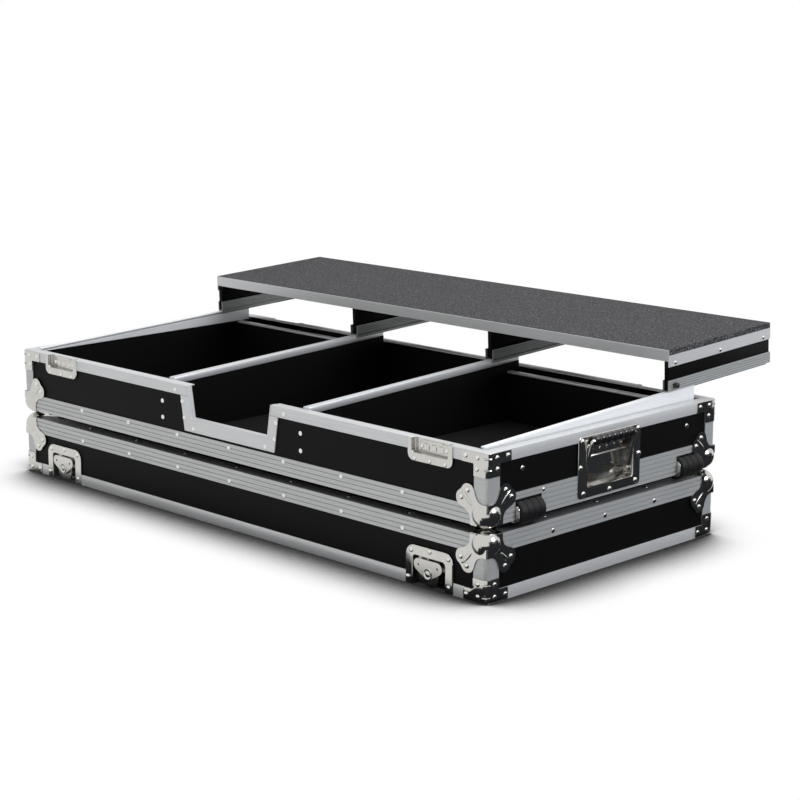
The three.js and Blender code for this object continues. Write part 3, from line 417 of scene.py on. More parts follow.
class Blank:
    """Sheet, bar or board being shaped with mesh operators, in millimetres."""

    def __init__(self) -> None:
        """Starts with nothing."""
        self.mesh = bmesh.new()
        self.face: bmesh.types.BMFace | None = None

    def slab(self, low: Numbers, high: Numbers) -> Self:
        """Adds a box between two corners."""
        size = Vector(high) - Vector(low)
        middle = (Vector(high) + Vector(low)) / 2
        place = Matrix.Translation(middle) @ Matrix.Diagonal(size).to_4x4()
        bmesh.ops.create_cube(self.mesh, size=1.0, matrix=place)
        return self

    def sphere(self, radius: float, around: int, up: int) -> Self:
        """Adds a ball with so many faces around and up it."""
        bmesh.ops.create_uvsphere(self.mesh, u_segments=around, v_segments=up, radius=radius)
        return self

    def ring(self, radius: float, sides: int) -> Self:
        """Adds an open ring of edges."""
        bmesh.ops.create_circle(self.mesh, segments=sides, radius=radius)
        return self

    def sheet(self, corners: Iterable[Numbers]) -> Self:
        """Adds a flat face that faces out.

        Args:
            corners: along, up and corner radius of each corner, anticlockwise.

        Returns:
            This blank.
        """
        corners = list(corners)
        points = [self.mesh.verts.new((along, up, 0.0)) for along, up, _ in corners]
        self.mesh.faces.new(points)
        for point, (_, _, radius) in zip(points, corners):
            if radius:
                bmesh.ops.bevel(self.mesh, geom=[point], offset=radius, offset_type="OFFSET", segments=6,
                                profile=0.5, affect="VERTICES", material=-1)
        self.mesh.faces.ensure_lookup_table()
        self.face = self.mesh.faces[-1]
        return self

    def rectangle(self, low: Numbers, high: Numbers, radius: float = 0.0) -> Self:
        """Adds a flat rectangle with rounded corners."""
        return self.sheet([(low[0], low[1], radius), (high[0], low[1], radius),
                           (high[0], high[1], radius), (low[0], high[1], radius)])

    def press(self, steps: Iterable[tuple[float, float]]) -> Self:
        """Presses the flat sheet's middle, step by step from its edge inwards.

        Args:
            steps: how far in from the edge, and how far out, each step goes.

        Returns:
            This blank.
        """
        for inwards, out in steps:
            bmesh.ops.inset_region(self.mesh, faces=[self.face], thickness=inwards, depth=out,
                                   use_even_offset=True, use_boundary=True)
        return self

    def open_edges(self) -> list[bmesh.types.BMEdge]:
        """Finds the edges with a face on one side only."""
        return [edge for edge in self.mesh.edges if len(edge.link_faces) == 1]

    def fill_in(self, inner: "Blank") -> Self:
        """Swaps the sheet's middle for another open sheet, joined to this one by a band.

        Args:
            inner: the sheet that goes in, with as many edges round it as the middle has.

        Returns:
            This blank.
        """
        hole, mine = self.face.edges[:], set(self.mesh.edges)
        bmesh.ops.delete(self.mesh, geom=[self.face], context="FACES_ONLY")
        self.add(inner)
        border = [edge for edge in self.open_edges() if edge not in mine]
        bmesh.ops.bridge_loops(self.mesh, edges=hole + border)
        return self

    def push(self, depth: float) -> Self:
        """Pushes the flat sheet out into a plate."""
        made = bmesh.ops.extrude_face_region(self.mesh, geom=self.mesh.faces[:])
        points = [part for part in made["geom"] if isinstance(part, bmesh.types.BMVert)]
        bmesh.ops.translate(self.mesh, vec=(0.0, 0.0, depth), verts=points)
        return self

    def drag(self, edges: Sequence[bmesh.types.BMEdge], by: Numbers) -> list[bmesh.types.BMVert]:
        """Drags edges out into walls and gives the walls' far points."""
        made = bmesh.ops.extrude_edge_only(self.mesh, edges=edges)
        points = [part for part in made["geom"] if isinstance(part, bmesh.types.BMVert)]
        bmesh.ops.translate(self.mesh, vec=by, verts=points)
        return points

    def sweep(self, centre: Numbers, axis: Numbers, angle: float, steps: int, parts: Sequence = (),
              closed: bool = False) -> Self:
        """Sweeps points and edges round an axis.

        Args:
            centre: a point on the axis.
            axis: the axis's direction.
            angle: how far to sweep, in radians.
            steps: how many faces that makes.
            parts: the edges and points, or nothing for all of them.
            closed: whether the sweep ends where it starts.

        Returns:
            This blank.
        """
        parts = parts or self.mesh.edges[:] + self.mesh.verts[:]
        bmesh.ops.spin(self.mesh, geom=parts, cent=centre, axis=axis, dvec=(0, 0, 0), angle=angle,
                       steps=steps, use_merge=closed, use_duplicate=False)
        return self

    def cap_ends(self) -> Self:
        """Closes the open ends of a tube."""
        bmesh.ops.holes_fill(self.mesh, edges=self.open_edges(), sides=32)
        return self

    def thicken(self, depth: float) -> Self:
        """Gives an open sheet its thickness behind it."""
        bmesh.ops.solidify(self.mesh, geom=self.mesh.faces[:], thickness=depth)
        return self

    def soften(self, width: float, segments: int = 2, above: float = 40.0) -> Self:
        """Rounds the edges that are sharper than an angle in degrees."""
        limit = math.radians(above)
        edges = [edge for edge in self.mesh.edges
                 if len(edge.link_faces) == 2 and edge.calc_face_angle(0.0) > limit]
        bmesh.ops.bevel(self.mesh, geom=edges, offset=width, offset_type="OFFSET", segments=segments,
                        profile=0.5, affect="EDGES", clamp_overlap=True, material=-1)
        return self

    def lathe(self, profile: Pairs, sides: int) -> Self:
        """Turns a profile of (radius, height) about the out direction."""
        points = [self.mesh.verts.new((radius, 0.0, height)) for radius, height in profile]
        lines = [self.mesh.edges.new(pair) for pair in zip(points, points[1:])]
        self.sweep((0, 0, 0), (0, 0, 1), 2 * math.pi, sides, points + lines, closed=True)
        bmesh.ops.remove_doubles(self.mesh, verts=self.mesh.verts[:], dist=0.001)
        return self

    def cut(self, point: Numbers, normal: Numbers, clear: bool = True) -> Self:
        """Cuts along a plane, and clears what lies beyond it unless told not to."""
        bmesh.ops.bisect_plane(self.mesh, geom=self.mesh.verts[:] + self.mesh.edges[:] + self.mesh.faces[:],
                               dist=0.0001, plane_co=point, plane_no=normal, clear_outer=clear)
        return self

    def remove(self, where: Callable[[Vector], bool]) -> Self:
        """Takes out the faces whose middle is where a test says."""
        gone = [face for face in self.mesh.faces if where(face.calc_center_median())]
        bmesh.ops.delete(self.mesh, geom=gone, context="FACES")
        return self

    def move(self, place: Matrix) -> Self:
        """Moves everything by a matrix."""
        self.mesh.transform(place)
        return self

    def add(self, other: "Blank", *places: Matrix) -> Self:
        """Adds a copy of another blank at each place, or one as it stands."""
        for place in places or (Matrix(),):
            copied = bpy.data.meshes.new("copied")
            other.mesh.to_mesh(copied)
            copied.transform(place)
            self.mesh.from_mesh(copied)
            bpy.data.meshes.remove(copied)
        return self

    def at(self, *places: Matrix) -> "Blank":
        """Gives a new blank with a copy of this one at each place."""
        return Blank().add(self, *places)

    def tidy(self) -> Self:
        """Merges doubles and turns every face outwards."""
        bmesh.ops.remove_doubles(self.mesh, verts=self.mesh.verts[:], dist=0.002)
        bmesh.ops.recalc_face_normals(self.mesh, faces=self.mesh.faces[:])
        return self

    def link(self, name: str, material: bpy.types.Material) -> bpy.types.Object:
        """Links the blank's mesh to the scene as an object with one material."""
        made = bpy.data.meshes.new(name)
        self.mesh.to_mesh(made)
        self.mesh.free()
        made.materials.append(material)
        piece = bpy.data.objects.new(name, made)
        bpy.context.scene.collection.objects.link(piece)
        return piece

    def finish(self, name: str, finish: Finish, ride: Ride, sharp: float = 35.0,
               instead_of: Sequence[str] = ()) -> bpy.types.Object:
        """Makes the blank a finished piece of the scene.

        Args:
            name: the piece's name.
            finish: what its surface is.
            ride: the CAD body that it rides on.
            sharp: the angle in degrees above which an edge stays crisp.
            instead_of: the CAD nodes that it stands for.

        Returns:
            The piece's object.
        """
        self.tidy().move(ride.place)
        if ride.place.determinant() < 0:
            bmesh.ops.reverse_faces(self.mesh, faces=self.mesh.faces[:])
        piece = self.link(name, finish.material())
        piece.data.shade_smooth()
        piece.data.set_sharp_from_angle(angle=math.radians(sharp))
        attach(piece, ride.body)
        if instead_of:
            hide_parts(*instead_of)
        LOG.info("%s: %d faces", name, len(piece.data.polygons))
        return piece


def dress_node(name: str, finish: Finish, edge: float = 0.4) -> None:
    """Gives a CAD node its finish and softens its edges.

    Args:
        name: the node.
        finish: what its surface is.
        edge: how wide the softened edges are, in millimetres.
    """
    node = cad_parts[name]
    node.data.materials.clear()
    node.data.materials.append(finish.material())
    weld = node.modifiers.new("weld", "WELD")
    weld.merge_threshold = 0.01 * MM
    flat = node.modifiers.new("flat", "DECIMATE")
    flat.decimate_type = "DISSOLVE"
    flat.angle_limit = math.radians(1)
    if edge:
        soft = node.modifiers.new("soft", "BEVEL")
        soft.width = edge * MM
        soft.segments = 2
        soft.limit_method = "ANGLE"
        soft.angle_limit = math.radians(40)
    LOG.info("%s: %s", name, finish.title)


@dataclass(frozen=True)
class Outline:
    """An upright rectangle with rounded corners, on the face of a side."""

    half: float
    low: float
    high: float
    radius: float

    def sheet(self) -> Blank:
        """Gives the outline as a flat sheet."""
        return Blank().rectangle((-self.half, self.low), (self.half, self.high), self.radius)


def pressing(outer: Outline, inner: Outline, edge: Pairs,
             recess: Pairs) -> Blank:
    """Presses a flange with a recess in it, as an open sheet.

    Args:
        outer: the flange's outline.
        inner: the recess's outline.
        edge: the steps that turn the flange's edge up to its face.
        recess: the steps down from the flange's face, and up to a lip where there is one.

    Returns:
        The sheet, before it has its thickness.
    """
    bowl = inner.sheet().press(recess)
    bowl.move(shift(0, 0, sum(out for _, out in edge)))
    return outer.sheet().press(edge).fill_in(bowl)


DOME = ((0.0, 1.0), (0.36, 0.95), (0.66, 0.76), (0.88, 0.45), (1.0, 0.06), (1.0, -0.2), (0.0, -0.2))


def dome(radius: float, height: float, sides: int = 14) -> Blank:
    """Makes a domed head that stands on its surface."""
    return Blank().lathe([(radius * r, height * h) for r, h in DOME], sides)


@dataclass
class Rivets:
    """The rivets of one body, gathered as they are placed and made as one piece."""

    name: str
    ride: Ride
    radius: float = 4.2
    height: float = 2.2

    def __post_init__(self) -> None:
        """Starts the piece with one head as its pattern."""
        self.pattern = dome(self.radius, self.height)
        self.all = Blank()

    def at(self, *places: Matrix) -> None:
        """Places a rivet at each matrix, standing along its Z."""
        self.all.add(self.pattern, *places)

    def make(self) -> None:
        """Finishes the rivets as one piece."""
        self.all.finish(self.name, NICKEL, self.ride, 50.0)


# Ball corners


@dataclass
class BallCorner:
    """A pressed steel ball with a riveted leaf on each of its three faces, drawn inwards from the corner."""

    lobe_reach: float = 64.0
    rivet_near: float = 40.5
    rivet_far: float = 53.5
    hollow: float = 5.0
    ridge_middle: float = 41.0
    ridge_size: Numbers = (15, 3.4, 1.6)
    faces: Sequence[Matrix] = (stand((0, 1, 0), (0, 0, 1), (-1, 0, 0)),
                               stand((0, 0, 1), (1, 0, 0), (0, -1, 0)),
                               stand((1, 0, 0), (0, 1, 0), (0, 0, -1)))

    def leaf(self) -> Blank:
        """Shapes one leaf: concave towards its neighbours, two lobes, and a ridge between them."""
        half = [(18.5, 4, 0), (21.5, 0, 0), (35, 0, 0), (34.5, 13, 7), (42, 22.5, 7), (57, 27, 5),
                (self.lobe_reach, 33, 6), (self.lobe_reach, 46.5, 6), (55, 53, 2)]
        corners = half + [(up, along, radius) for along, up, radius in reversed(half)] + [(9, 9, 0)]
        ridge = Blank().sphere(1.0, 16, 8).move(shift(self.ridge_middle, self.ridge_middle, CASE.plate)
                                                @ Matrix.Rotation(QUARTER_TURN / 2, 4, "Z")
                                                @ Matrix.Diagonal((*self.ridge_size, 1)))
        return Blank().sheet(corners).push(CASE.plate).soften(0.6).add(ridge)

    def ball(self) -> Blank:
        """Shapes the ball as a shell that is open towards the inside of the tray."""
        blank = Blank().sphere(CASE.ball_radius, 40, 24).move(Matrix.Translation([CASE.ball_inset] * 3))
        for axis in range(3):
            normal = [float(axis == i) for i in range(3)]
            blank.cut([self.hollow * n for n in normal], normal, clear=False)
        return blank.remove(lambda p: min(p) > self.hollow).thicken(CASE.plate)

    def build(self) -> None:
        """Makes the eight ball corners and their rivets."""
        whole = self.leaf().at(*self.faces).add(self.ball())
        near, far = self.rivet_near, self.rivet_far
        heads = [face @ shift(u, v, CASE.plate) for face in self.faces for u, v in ((near, far), (far, near))]
        for ride, height, inward in ((LID, CASE.lid_height, -1), (BASE, 0.0, 1)):
            rivets = Rivets(f"{ride.body}_corner_rivets", ride, 4.6, 2.6)
            for corner in Corner:
                name = f"{ride.body}_ball_corner_{corner.name.lower()}"
                spot = corner.at(height, inward)
                whole.at(spot).finish(f"{name}_pressing", CHROME, ride, 40.0, [name])
                rivets.at(*[spot @ head for head in heads])
            rivets.make()


# Rims and braces


@dataclass
class RimFrame:
    """The smooth extrusion round a tray's mouth, with a flat brace riveted over each corner.

    Dishes at room_x go through the rim, and gap is half of its opening over the front cut-out.
    """

    ride: Ride
    height: float
    inward: int
    face: float
    arm: float
    rivet_places: Pairs
    room_x: float
    room_half: float
    room_depth: float
    gap: float = 0.0
    gap_lean: float = 0.167
    web: float = 20.0
    edge: float = 1.0
    post: float = 28.0
    brace_height: float = 39.0
    bead_radius: float = 1.3

    def bar(self) -> Blank:
        """Shapes the rim as one bent sheet, flat on the rim and turned over the sides."""
        x, y, web = CASE.half_width, CASE.half_depth, self.web
        mouth = Blank().rectangle((web - x, web - y), (x - web, y - web), 1.0)
        blank = Blank().rectangle((-x, -y), (x, y), CASE.post_radius).fill_in(mouth)
        blank.remove(lambda p: abs(p.x) < 1 and abs(p.y) < 1)
        rim = [edge for edge in blank.open_edges()
               if all(abs(v.co.x) > x - web / 2 or abs(v.co.y) > y - web / 2 for v in edge.verts)]
        blank.drag(rim, (0, 0, -self.face))
        bmesh.ops.recalc_face_normals(blank.mesh, faces=blank.mesh.faces[:])
        return blank

    def cut_rooms(self, blank: Blank) -> None:
        """Takes out the rim where a pressed dish goes through it."""
        rooms = [(x - self.room_half, x + self.room_half) for x in (-self.room_x, self.room_x)]
        for low, high in rooms:
            for x in (low, high):
                blank.cut((x, 0, 0), (1, 0, 0), clear=False)
        depth = CASE.half_depth - self.room_depth
        for y in (-depth, depth):
            blank.cut((0, y, 0), (0, 1, 0), clear=False)
        blank.remove(lambda p: abs(p.y) > depth and any(low < p.x < high for low, high in rooms))

    def cut_gap(self, blank: Blank) -> None:
        """Opens the front rim over the cut-out, whose sides lean."""
        for sign in SIGNS:
            blank.cut((sign * self.gap, 0, 0), (sign, 0, -self.gap_lean), clear=False)
        blank.remove(lambda p: p.y < 0 and abs(p.x) < self.gap)

    def brace(self) -> Blank:
        """Shapes one brace, drawn inwards from the corner with its height along Z."""
        bend = CASE.post_radius
        flat = Blank().sheet([(bend, self.edge, 0), (self.arm, self.edge, 1.5), (self.arm, self.face, 1.5),
                              (self.post, self.face, 2), (self.post, self.brace_height, 1.5),
                              (bend, self.brace_height, 0)])
        flat.move(stand((1, 0, 0), (0, 0, 1), (0, -1, 0)))
        side = flat.at(stand((0, 1, 0), (1, 0, 0), (0, 0, 1)))
        seam = [edge for edge in flat.mesh.edges if all(abs(v.co.x - bend) < 0.01 for v in edge.verts)]
        seam += [vert for edge in seam for vert in edge.verts]
        flat.sweep((bend, bend, 0), (0, 0, 1), -QUARTER_TURN, 5, seam)
        whole = flat.at().add(side).tidy()
        face = max(whole.mesh.faces, key=lambda f: f.calc_area())
        if face.normal.dot(Vector((1, 1, 0))) > 0:
            bmesh.ops.reverse_faces(whole.mesh, faces=whole.mesh.faces[:])
        return whole.thicken(-CASE.plate)

    def bead(self, height: float) -> Blank:
        """Shapes the raised bead that wraps round the corner at a rivet's height."""
        bend = CASE.post_radius
        wire = Blank().ring(self.bead_radius, 8).move(shift(bend, -CASE.plate, height) @ LAY)
        return wire.sweep((bend, bend, 0), (0, 0, 1), -QUARTER_TURN, 6).cap_ends()

    def build(self) -> None:
        """Makes the rim, its braces and their rivets."""
        blank, name = self.bar(), self.ride.body
        self.cut_rooms(blank)
        if self.gap:
            self.cut_gap(blank)
        turned = shift(0, 0, self.height) @ Matrix.Diagonal((1, 1, -self.inward, 1))
        blank.thicken(CASE.wall).soften(0.7)
        blank.finish(f"{name}_rim_extrusion", ALUMINIUM, self.ride.moved(turned),
                     instead_of=[f"{name}_rim_frame"])
        brace, rivets = self.brace().soften(0.4), Rivets(f"{name}_brace_rivets", self.ride)
        for _, height in self.rivet_places[::2]:
            brace.add(self.bead(height))
        front = stand((1, 0, 0), (0, 0, 1), (0, -1, 0), (0, -CASE.plate, 0))
        end = stand((0, 1, 0), (0, 0, 1), (-1, 0, 0), (-CASE.plate, 0, 0))
        for corner in Corner:
            spot = corner.at(self.height, self.inward)
            brace.at(spot).finish(f"{name}_corner_brace_{corner.name.lower()}", CHROME, self.ride)
            for side in (front, end):
                rivets.at(*[spot @ side @ shift(u, v, 0) for u, v in self.rivet_places])
        rivets.make()


# Latches and keepers


@dataclass
class ButterflyLatch:
    """A recessed latch on the lid: pressed dish, hub, two-lobed wing and sliding claw."""

    half_width: float = 52.0
    height: float = 66.0
    foot: float = 1.2
    radius: float = 18.0
    band: float = 14.5
    boss_up: float = 24.8
    boss_out: float = 4.0
    rivet_out: float = 1.6
    rivet_places: Pairs = ((-39, 57), (2, 61), (43, 57), (-47, 11), (43, 11))

    def dish(self) -> Blank:
        """Presses the dish as twice its height and cuts it at the rim, so that it is open there."""
        mirrored = 2 * self.foot - self.height
        outer = Outline(self.half_width, mirrored, self.height, self.radius)
        inner = Outline(self.half_width - self.band, mirrored + self.band, self.height - self.band, 8.0)
        blank = pressing(outer, inner, ((0.5, 1.2), (1.1, 0.6)),
                         ((0.7, 0.35), (0.9, -0.35), (0.7, -1.4), (0.6, -10.6), (1.2, -1.0)))
        return blank.cut((0, self.foot, 0), (0, -1, 0)).thicken(1.1)

    def build(self) -> None:
        """Makes the four dishes, dresses the moving nodes and adds the wing's boss."""
        dish, rivets = self.dish(), Rivets("latch_rivets", LID, 4.4, 2.2)
        boss = Blank().lathe([(0, 1.6), (3.4, 1.4), (4.2, 0.5), (6.4, 0.4), (7.2, 1.2), (8.6, 1.2),
                              (9.4, -0.2), (0, -0.2)], 28)
        for place, side, along in paired(CASE.latch_x):
            name = f"{place}_latch"
            dish.at(side.at(along)).finish(f"{name}_pressing", CHROME, LID, 40.0, [f"{name}_dish"])
            rivets.at(*[side.at(along + u, v, self.rivet_out) for u, v in self.rivet_places])
            for part in ("hub", "wing", "claw"):
                dress_node(f"{name}_{part}", CHROME, 0.5)
            boss.at(side.at(along, self.boss_up, self.boss_out)).finish(f"{name}_wing_boss", CHROME,
                                                                       LID.on(f"{name}_wing"), 50.0)
        rivets.make()


@dataclass
class Keeper:
    """A shallow dish on the base, open at the rim, with the plate that a claw hooks under."""

    half_width: float = 49.0
    height: float = 37.0
    radius: float = 12.0
    band: float = 8.0
    sill: float = 12.0
    plate_back: float = -7.2
    plate_face: float = -5.6
    pad_half: float = 6.0

    def dish(self) -> Blank:
        """Presses the dish as twice its height and cuts it at the rim."""
        rim = CASE.base_height
        low, high = rim - self.height, rim + self.height
        outer = Outline(self.half_width, low, high, self.radius)
        inner = Outline(self.half_width - self.band, low + self.sill, high - self.sill, 5.0)
        blank = pressing(outer, inner, ((0.5, 1.1), (1.1, 0.5)),
                         ((0.7, 0.3), (0.8, -0.3), (0.6, -1.2), (0.5, -6.4), (1.0, -0.9)))
        return blank.cut((0, rim, 0), (0, 1, 0)).thicken(1.1)

    def catch(self) -> Blank:
        """Shapes the riveted catch plate with its raised pads and its ledge."""
        rim = CASE.base_height
        blank = Blank().slab((-27, rim - 22, self.plate_back), (33, rim - 3, self.plate_face)).soften(0.6)
        blank.add(Blank().slab((-22, rim - 5, -8.5), (22, rim - 2, -5.0)).soften(0.5))
        for along in (-13, 3, 19):
            pad = Blank().rectangle((along - self.pad_half, rim - 18), (along + self.pad_half, rim - 7), 2.5)
            pad.press([(0.6, 0.9), (1.2, 0.3)]).move(shift(0, 0, self.plate_face - 0.1))
            blank.add(pad.thicken(0.6))
        return blank

    def build(self) -> None:
        """Makes the four keepers and their rivets."""
        dish, catch, rivets = self.dish(), self.catch(), Rivets("keeper_rivets", BASE, 3.8, 2.0)
        for place, side, along in paired(CASE.keeper_x):
            name, spot = f"{place}_keeper", side.at(along)
            dish.at(spot).finish(f"{name}_pressing", CHROME, BASE, 40.0, [name])
            catch.at(spot).finish(f"{name}_catch", CHROME, BASE)
            for row, down, out in (((-33, 0, 33), 32.5, 1.4), ((-24, 30), 12.5, self.plate_face)):
                rivets.at(*[side.at(along + u, CASE.base_height - down, out) for u in row])
        rivets.make()


# End handles


@dataclass
class EndHandle:
    """A sprung handle: pressed dish, bail with two arms, coil springs and a ribbed rubber grip.

    Names with _up and _out are heights and distances out of the end, and rib_profile holds shares of half the
    ribs' pitch and of the grip's size.
    """

    middle: float = 3.0
    plate: Outline = Outline(79.0, 4.0, 107.0, 8.0)
    pocket: Outline = Outline(60.5, 18.5, 92.0, 7.0)
    depth: float = 23.0
    arm: float = 54.7
    pivot_up: float = 33.0
    pivot_depth: float = 8.0
    tube_radius: float = 3.2
    tube_bend: float = 6.0
    wire: float = 1.1
    coil_radius: float = 6.0
    coil_pitch: float = 2.53
    coil_lean: float = 0.12
    coil_places: Numbers = (-40.0, 28.0)
    grip_up: float = 98.5
    grip_out: float = 9.5
    grip_half: float = 50.0
    grip_tall: float = 9.0
    grip_deep: float = 6.5
    ribs: int = 7
    rib_pitch: float = 14.3
    rib_profile: Pairs = ((-0.97, 0.62), (-0.86, 0.78), (-0.62, 0.94), (-0.3, 1.0), (0.3, 1.0), (0.62, 0.94),
                          (0.86, 0.78), (0.97, 0.62))
    step_face: float = -6.5
    stud_up: float = 80.0
    stud_first: float = -36.0
    stud_pitch: float = 18.5
    rivet_out: float = 2.0
    rivet_places: Pairs = ((-70, 99), (71, 99), (-74, 56), (74, 56), (-66, 12), (66, 12), (0, 9))

    def dish(self) -> Blank:
        """Presses the plate and its deep pocket, with a raised lip round it."""
        steps = ((0.9, 1.0), (1.2, 0.2), (0.8, -1.2), (0.4, -1.6), (0.3, 3.4 - self.depth), (1.4, -1.4))
        return pressing(self.plate, self.pocket, ((0.6, 1.3), (1.2, 0.7)), steps)

    def shelf(self) -> Blank:
        """Shapes the step across the top of the pocket, with the studs along its face."""
        whole = Blank().slab((-49, 68.5, 1.5 - self.depth), (47, 90, self.step_face)).soften(2.2, 3)
        return whole.add(dome(2.6, 1.6, 10), *[shift(self.stud_first + self.stud_pitch * i, self.stud_up,
                                                     self.step_face) for i in range(5)])

    def lips(self) -> Blank:
        """Shapes the two rolled lips that catch the light, under the grip and along the step's lower edge."""
        whole = Blank()
        for radius, low, high, up, out in ((1.5, -57.0, 57.0, 90.4, 1.9), (1.4, -50.0, 48.0, 69.4, -6.0)):
            rod = Blank().lathe([(0, low), (radius * 0.7, low), (radius, low + 0.5), (radius, high - 0.5),
                                 (radius * 0.7, high), (0, high)], 12)
            whole.add(rod, shift(0, up, out) @ LAY)
        return whole

    def arm_tube(self, sign: int, straight: float) -> Blank:
        """Bends one arm's tube inwards at its far end.

        Args:
            sign: 1 for the arm at the side's far end, -1 for the other.
            straight: how long the tube is before its bend.

        Returns:
            The tube, drawn from its pivot along Z.
        """
        tube = Blank().ring(self.tube_radius, 16)
        points = tube.drag(tube.mesh.edges[:], (0, 0, straight))
        end = [edge for edge in tube.mesh.edges if all(v in points for v in edge.verts)]
        centre = (-sign * self.tube_bend, 0, straight)
        return tube.sweep(centre, (0, 1, 0), -sign * QUARTER_TURN, 6, end + points).cap_ends()

    def bail(self) -> Blank:
        """Shapes the two leaning arms with their bends towards the grip, and the eyes round their pivots."""
        whole = Blank()
        rise, reach = self.grip_up - self.pivot_up, self.grip_out + self.pivot_depth
        straight = math.hypot(rise, reach) - self.tube_bend
        lean = Matrix.Rotation(math.atan2(reach, rise), 4, "X") @ Matrix.Rotation(-QUARTER_TURN, 4, "X")
        eye = Blank().lathe([(0, 6.0), (5.4, 6.0), (6.2, 5.2), (6.2, -3.2), (5.4, -4.0), (0, -4.0)], 20)
        for sign in SIGNS:
            pivot = shift(sign * self.arm, self.pivot_up, -self.pivot_depth)
            whole.add(self.arm_tube(sign, straight), pivot @ lean)
            whole.add(eye, pivot @ Matrix.Rotation(sign * QUARTER_TURN, 4, "Y"))
        return whole

    def springs(self) -> Blank:
        """Shapes the two short coil springs from wire rings beside the pivots."""
        coil = Blank().ring(self.wire, 6).move(shift(0, self.coil_radius, 0) @ LAY)
        coil.sweep((0, 0, 0), (1, 0, 0), 2 * math.pi, 18, closed=True)
        lean = Matrix.Rotation(self.coil_lean, 4, "Y")
        spring = coil.at(*[shift(turn * self.coil_pitch, 0, 0) @ lean for turn in range(5)])
        return spring.at(*[shift(x, self.pivot_up, -self.pivot_depth) for x in self.coil_places])

    def grip(self) -> Blank:
        """Turns the ribbed rubber grip and makes it taller than it is deep."""
        profile = [(0.0, -self.grip_half)]
        for rib in range(self.ribs):
            middle = self.rib_pitch * (rib - (self.ribs - 1) / 2)
            profile += [(self.grip_tall * size, middle + share * self.rib_pitch / 2)
                        for share, size in self.rib_profile]
        profile.append((0.0, self.grip_half))
        flat = Matrix.Diagonal((1, 1, self.grip_deep / self.grip_tall, 1))
        return Blank().lathe(profile, 28).move(shift(0, self.grip_up, self.grip_out) @ flat @ LAY)

    def build(self) -> None:
        """Makes both handles."""
        dish, shelf, lips = self.dish(), self.shelf(), self.lips()
        bail, grip, springs = self.bail(), self.grip(), self.springs()
        rivets = Rivets("handle_rivets", BASE, 5.0, 2.6)
        for side, hand in ((Side.RIGHT, "right"), (Side.LEFT, "left")):
            name, spot, swing = f"{hand}_handle", side.at(self.middle), BASE.on(f"{hand}_handle_bail")
            pressed = dish.at(spot).finish(f"{name}_pressing", CHROME, BASE, 40.0, [f"{name}_dish"])
            wall = pressed.modifiers.new("wall", "SOLIDIFY")
            wall.thickness, wall.offset, wall.use_even_offset = 1.3 * MM, -1.0, False
            shelf.at(spot).finish(f"{name}_shelf", CHROME, BASE)
            lips.at(spot).finish(f"{name}_lips", NICKEL, BASE, 50.0)
            bail.at(spot).finish(f"{name}_arms", CHROME, swing, 40.0, [swing.body])
            grip.at(spot).finish(f"{name}_grip", GRIP_RUBBER, swing, 60.0)
            springs.at(spot).finish(f"{name}_springs", NICKEL, BASE, 60.0)
            rivets.at(*[side.at(self.middle + u, v, self.rivet_out) for u, v in self.rivet_places])
        rivets.make()


# Travel wheels


@dataclass
class TravelWheels:
    """Two rubber rollers in sheet housings at the bottom of the right end.

    A roller turns about an axle that lies along the end, at axle_up and axle_out, and head_reach is where the
    axle's heads stand beyond the roller's ends.
    """

    radius: float = 20.0
    half: float = 28.0
    bore: float = 4.4
    hub: float = 12.0
    hub_depth: float = 3.0
    axle_up: float = 10.0
    axle_out: float = -6.0
    head_reach: float = 2.9
    bracket_gap: float = 0.5
    places: Sequence[tuple[str, float]] = (("front", -193.0), ("rear", 213.0))
    rivet_places: Numbers = (-158.0, 248.0)
    rivet_up: float = 38.0

    def roller(self) -> Blank:
        """Turns the roller, with rounded shoulders, tread lines and recessed ends."""
        r, h, end = self.radius, self.half, self.half - self.hub_depth
        half = [(self.bore, end), (self.hub, end), (self.hub + 2, h), (r - 2.2, h), (r - 0.6, h - 0.9),
                (r, h - 2.8)]
        profile = [(across, -along) for across, along in half]
        for line in (-14, 0, 14):
            profile += [(r, line - 1.1), (r - 0.8, line - 0.6), (r - 0.8, line + 0.6), (r, line + 1.1)]
        return Blank().lathe(profile + half[::-1] + [(self.bore, -end)], 40)

    def build(self) -> None:
        """Makes the rollers, dresses the housings, and adds axle heads and rivets."""
        roller = self.roller()
        bracket = Blank().sheet([(-5, -3, 0), (9, -3, 9), (9, 23, 9), (-5, 23, 0)]).push(2.4).soften(0.6)
        bracket.move(Matrix.Rotation(-QUARTER_TURN, 4, "Y"))
        head = Blank().lathe([(0, 2.6), (3.6, 2.4), (5.2, 1.4), (5.6, 0.0), (5.6, -0.4), (0, -0.4)], 20)
        reach = self.half + self.head_reach
        for place, along in self.places:
            name = f"{place}_wheel"
            foot, spot = Side.RIGHT.at(along), Side.RIGHT.at(along, self.axle_up, self.axle_out)
            roller.at(spot @ LAY).finish(f"{name}_roller", WHEEL_RUBBER, BASE.on(name), 50.0, [name])
            dress_node(f"{name}_housing", CHROME, 0.5)
            heads = head.at(*[spot @ shift(sign * reach, 0, 0) @ Matrix.Rotation(sign * QUARTER_TURN, 4, "Y")
                              for sign in SIGNS])
            heads.finish(f"{name}_axle_heads", NICKEL, BASE, 50.0)
            brackets = bracket.at(*[foot @ shift(x, 0, 0) for x in (-self.half - self.bracket_gap, reach)])
            brackets.finish(f"{name}_brackets", CHROME, BASE, 40.0)
        rivets = Rivets("wheel_housing_rivets", BASE, 3.6, 2.0)
        rivets.at(*[Side.RIGHT.at(along, self.rivet_up) for along in self.rivet_places])
        rivets.make()


# Edge extrusions and panels


